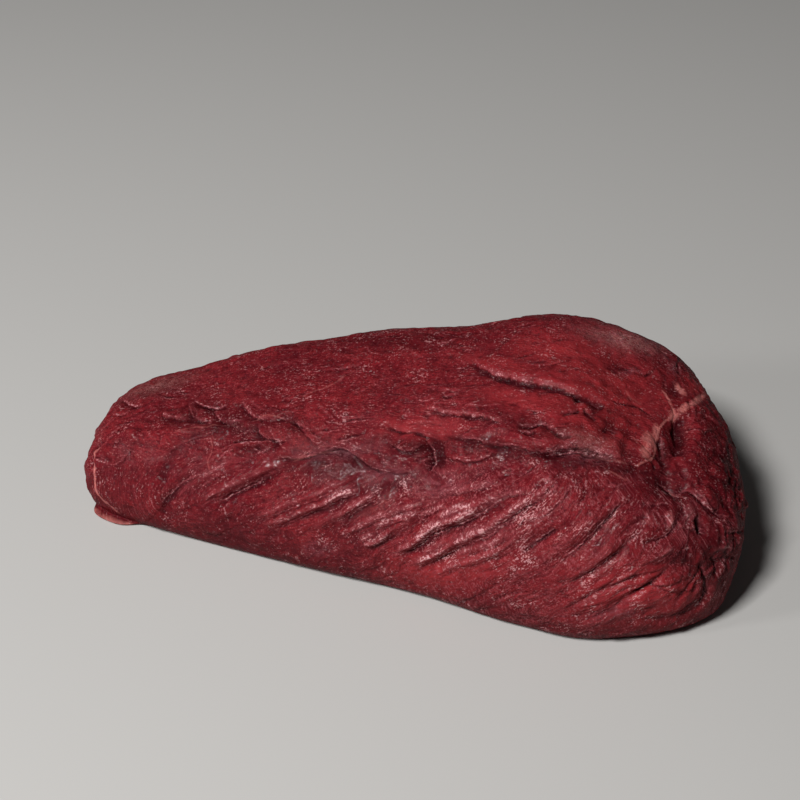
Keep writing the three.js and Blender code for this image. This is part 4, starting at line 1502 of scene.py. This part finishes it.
# %% Light and dark places
layers += [
    (DEEP_LEAN_AND_SHADE, cover(muscle, 0.16)),  # the near muscle is a little darker
    # lighter lean in a few patches
    (LIGHTER_LEAN, cover(on_skin["lighter_patch"], (pattern["mottle"], 0.3, 0.6, 0.4, 0.85))),
    (DEEP_LEAN_AND_SHADE, cover(on_skin["shaded"], 0.6)),  # painted shade in the seam, in dips and at the foot of the cut
    (DEEP_LEAN_AND_SHADE, cover((on_skin["narrow_height"], -0.05, -0.7, 0, 0.65))),  # painted shade in creases and nicks
    (DEEP_LEAN_AND_SHADE, cover((on_skin["broad_height"], -0.15, -1.4, 0, 0.75))),  # painted shade in valleys
    (BRIGHT_LEAN_AND_LIGHT, cover((on_skin["broad_height"], 0.2, 1.6, 0, 0.45))),  # painted light on swells
    # painted deepest shade, broken up a little
    (DEEPEST_SHADE_RED, cover(on_skin["deepest_shade"], (pattern["deepest_shade_places"], 0.38, 0.6, 0.25, 0.9))),
]
print(len(layers), "layers with light and dark places")

# %% Silvery and dry film
net = (threads(pattern["net"], 0.05), threads(pattern["long_fibres"], 0.03))
net = add_node("Math", net, operation="MAXIMUM")
layers += [
    (SILVER_FILM, cover(on_skin["film"], (fibres, 0.42, 0.58, 0.1, 0.5))),
    (DRY_FILM, cover(on_skin["dry"], (net, 0, 1, 0.14, 0.94))),
    (THIN_FAT, cover((cover(on_skin["fat"], pattern["mottle"]), 0.25, 0.6, 0, 0.75))),  # the flap
]
print(len(layers), "layers with silvery and dry film")

# %% [markdown]
# ### Painted shade in cracks and painted highlights on rims
# Painted shade darkens the cracks beside folds, creases and steps, and a painted highlight runs along the
# raised rim above each crack. Both follow the distances kept on the skin, which makes them finer than the
# mesh. A wobble keeps them from looking drawn.

# %% Cracks and rims
# Distance from the line to the middle of the band, the band's half width, where it is full, and its share.
BANDS = {"shaded_crack": (0, 0.45, 0.1, 0.85), "rim_highlight": (0.9, 0.5, 0.15, 1)}

wobble = add_node("MapRange", (pattern["wobble"], 0, 1, -1, 1))
bands = {"shaded_crack": 0.0, "rim_highlight": 0.0}
for group in range(LINE_GROUPS):
    signed = add_node("Math", (on_skin[f"line_{group}"], wobble), operation="ADD")
    for name, (off, outer, inner, full) in BANDS.items():
        moved = add_node("Math", (signed, off), operation="ADD")
        distance = add_node("Math", (moved,), operation="ABSOLUTE")
        band = cover((distance, outer, inner, 0, full), on_skin[f"line_{group}_shows"])
        bands[name] = add_node("Math", (band, bands[name]), operation="MAXIMUM")
crack_shade = cover(bands["shaded_crack"], (pattern["line_places"], 0.4, 0.6, 0.1, 1))
patchy = add_node("MapRange", (pattern["crest_places"], 0.38, 0.56, 0.3, 1))
rim_highlights = cover(bands["rim_highlight"], patchy, (on_skin["lighter_patch"], 0, 1, 1, 0.3), (on_skin["deepest_shade"], 0, 1, 0.75, 0.4))
print("cracks and rims follow", LINE_GROUPS, "groups of lines")

# %% [markdown]
# ### Painted wet shine
# A thin film of juice shines in small specks: thickly on the crests and rims, and sparsely all over. The
# clear coat alone would shine only where the mesh faces the light, so these highlights are painted into the
# colour.

# %% Painted wet shine
crest_sheen = cover((on_skin["crest"], 0, 1, 0, 1), (fibres, 0.42, 0.56, 0.6, 1), patchy)
shine_all_over = cover((pattern["shine_places"], 0.48, 0.68, 0.02, 0.38), (on_skin["glistening"], 0, 1, 0.9, 1.4))
wet_shine = add_node("Math", (crest_sheen, cover(rim_highlights, 0.9)), operation="MAXIMUM")
wet_shine = add_node("Math", (wet_shine, shine_all_over), operation="MAXIMUM")
# painted shine is weaker in the deepest painted shade
wet_shine = cover(wet_shine, (on_skin["deepest_shade"], 0, 1, 1, 0.6))
glints = add_node("Math", (wet_shine, 0.16, fine_grain), operation="MULTIPLY_ADD")
glints = cover((glints, 0.59, 0.67, 0, 1), (wet_shine, 0, 0.85, 0.15, 1))
glisten = cover((pattern["cross_dashes"], 0.54, 0.64, 0, 0.6), on_skin["glistening"])
glisten = cover(glisten, (pattern["web_places"], 0.4, 0.58, 0.15, 1))
layers += [
    (PALE_FIBRE_AND_SHEEN, cover(add_node("Math", (crest_sheen, rim_highlights), operation="MAXIMUM"), 0.9)),  # painted sheen on crests and rims
    (PALE_FIBRE_AND_SHEEN, glisten),  # painted highlight: fine lines across the folds
    (PAINTED_SHINE, cover(crest_sheen, crest_sheen, (pattern["cross_dashes"], 0.46, 0.56, 0, 0.7))),  # painted highlight on crests
    (CRACK_SHADE_RED, crack_shade),  # painted shade in the cracks
    (PAINTED_SHINE, cover(glints, 0.85)),  # painted glints
]
print(len(layers), "layers with wet film")

# %% Fat on top
for name in ("strand_a", "strand_b"):
    moved = add_node("Math", (on_skin[name], wobble), operation="ADD")
    distance = add_node("Math", (moved,), operation="ABSOLUTE")
    core = cover((distance, 1.1, 0.3, 0, 0.8), on_skin[name + "_strength"])
    layers.append((FAT, cover(core, (pattern["mottle"], 0.36, 0.5, 0.1, 1))))
sheets = cover(on_skin["fat_sheet"], (pattern["fat_places"], 0.3, 0.6, 0.45, 1.1))
layers.append((FAT, cover((sheets, 0.25, 0.8, 0, 0.7))))
print(len(layers), "layers with fat on top")

# %% Colour of raw beef
colour = LEAN
for above, share in layers:
    colour = add_node("Mix", {0: share, 6: colour, 7: above}, 2, data_type="RGBA")
print("raw beef has", len(layers), "layers over the lean")

# %% Surface of raw beef
GRAIN_HEIGHT = (0.18, 0.6)  # millimetres, in smooth and in rough places
THREAD_HEIGHT = 0.08
CRACK_HEIGHT = -0.3
WATER_IOR = 1.36  # meat is mostly water
LIGHT_DEPTH = 1.2 * MM  # how far red light spreads in lean

grain = add_node("Math", (fibres, fine_grain), operation="ADD")
height = cover(grain, (pattern["rough_places"], 0.4, 0.6, *GRAIN_HEIGHT))
height = add_node("Math", (pale_threads, THREAD_HEIGHT, height), operation="MULTIPLY_ADD")
height = add_node("Math", (crack_shade, CRACK_HEIGHT, height), operation="MULTIPLY_ADD")
bump = add_node("Bump", {"Height": height, "Strength": 1.0, "Distance": MM})
skin_light = add_node("BsdfPrincipled", {
    "Base Color": colour,
    "Roughness": add_node("MapRange", (pattern["mottle"], 0.3, 0.7, 0.28, 0.4)),
    "IOR": WATER_IOR,
    "Specular IOR Level": 0.0,
    "Subsurface Weight": 0.1,
    "Subsurface Radius": (1.0, 0.2, 0.1),
    "Subsurface Scale": LIGHT_DEPTH,
    "Coat Weight": 0.14,
    "Coat Roughness": 0.08,
    "Coat IOR": 1.6,
    "Normal": bump,
    "Coat Normal": bump,
})
add_node("OutputMaterial", {"Surface": skin_light})
shoulder.data.materials.append(beef)
print("raw beef has", len(tree.nodes), "nodes")

# %% [markdown]
# ## Stage
# The meat lies on a plain pale floor in soft light. The main light comes from the front left and above, as
# the shine on the near folds shows, and the thick end falls into shade. The camera looks down on it as in the
# photo, with a long lens, so that its outline can be compared.

# %% Floor
deselect_all()
bpy.ops.mesh.primitive_plane_add(size=8)
floor = bpy.context.object
floor.name = "floor"
paper = bpy.data.materials.new("pale_paper")
paper.use_nodes = True
paper.node_tree.nodes["Principled BSDF"].inputs["Base Color"].default_value = linear("#b4b2af")
paper.node_tree.nodes["Principled BSDF"].inputs["Roughness"].default_value = 0.9
floor.data.materials.append(paper)
print("floor is", round(floor.dimensions.x), "m wide")

# %% Camera
CAMERA_TURN = math.radians(11)
CAMERA_HEIGHT = math.radians(36)
CAMERA_DISTANCE = 0.802
CAMERA_AIM = Vector((-10.2, 28.0, 43.8)) * MM
LENS = 80  # with this sensor width in millimetres, it gives the size of the meat in the photo
SENSOR_WIDTH = 36

toward_camera = Vector((
    math.sin(CAMERA_TURN) * math.cos(CAMERA_HEIGHT),
    -math.cos(CAMERA_TURN) * math.cos(CAMERA_HEIGHT),
    math.sin(CAMERA_HEIGHT),
))
bpy.ops.object.camera_add(location=CAMERA_AIM + CAMERA_DISTANCE * toward_camera)
camera = bpy.context.object
camera.rotation_euler = (-toward_camera).to_track_quat("-Z", "Y").to_euler()
camera.data.lens = LENS
camera.data.sensor_width = SENSOR_WIDTH
bpy.context.scene.camera = camera
print("camera at", np.round(camera.location, 3))


# %% Light
def add_softbox(name, place, size, power, colour="#ffffff"):
    """An area light at a place that shines at the meat."""
    bpy.ops.object.light_add(type="AREA", location=place)
    light = bpy.context.object
    light.name = name
    light.rotation_euler = (Vector((0, 0, 0.03)) - Vector(place)).to_track_quat("-Z", "Y").to_euler()
    light.data.size = size
    light.data.energy = power
    light.data.color = linear(colour)[:3]


add_softbox("key", (-0.45, -1.0, 1.4), 0.35, 36)
add_softbox("side", (-1.25, -0.85, 0.65), 0.2, 7)
world = bpy.data.worlds.new("soft_grey")
world.use_nodes = True
world.node_tree.nodes["Background"].inputs["Color"].default_value = linear("#808080")
world.node_tree.nodes["Background"].inputs["Strength"].default_value = 0.15
bpy.context.scene.world = world
bpy.context.scene.view_settings.view_transform = "Standard"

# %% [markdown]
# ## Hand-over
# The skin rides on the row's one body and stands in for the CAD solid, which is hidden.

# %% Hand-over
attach(shoulder, "root")
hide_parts(NODE)
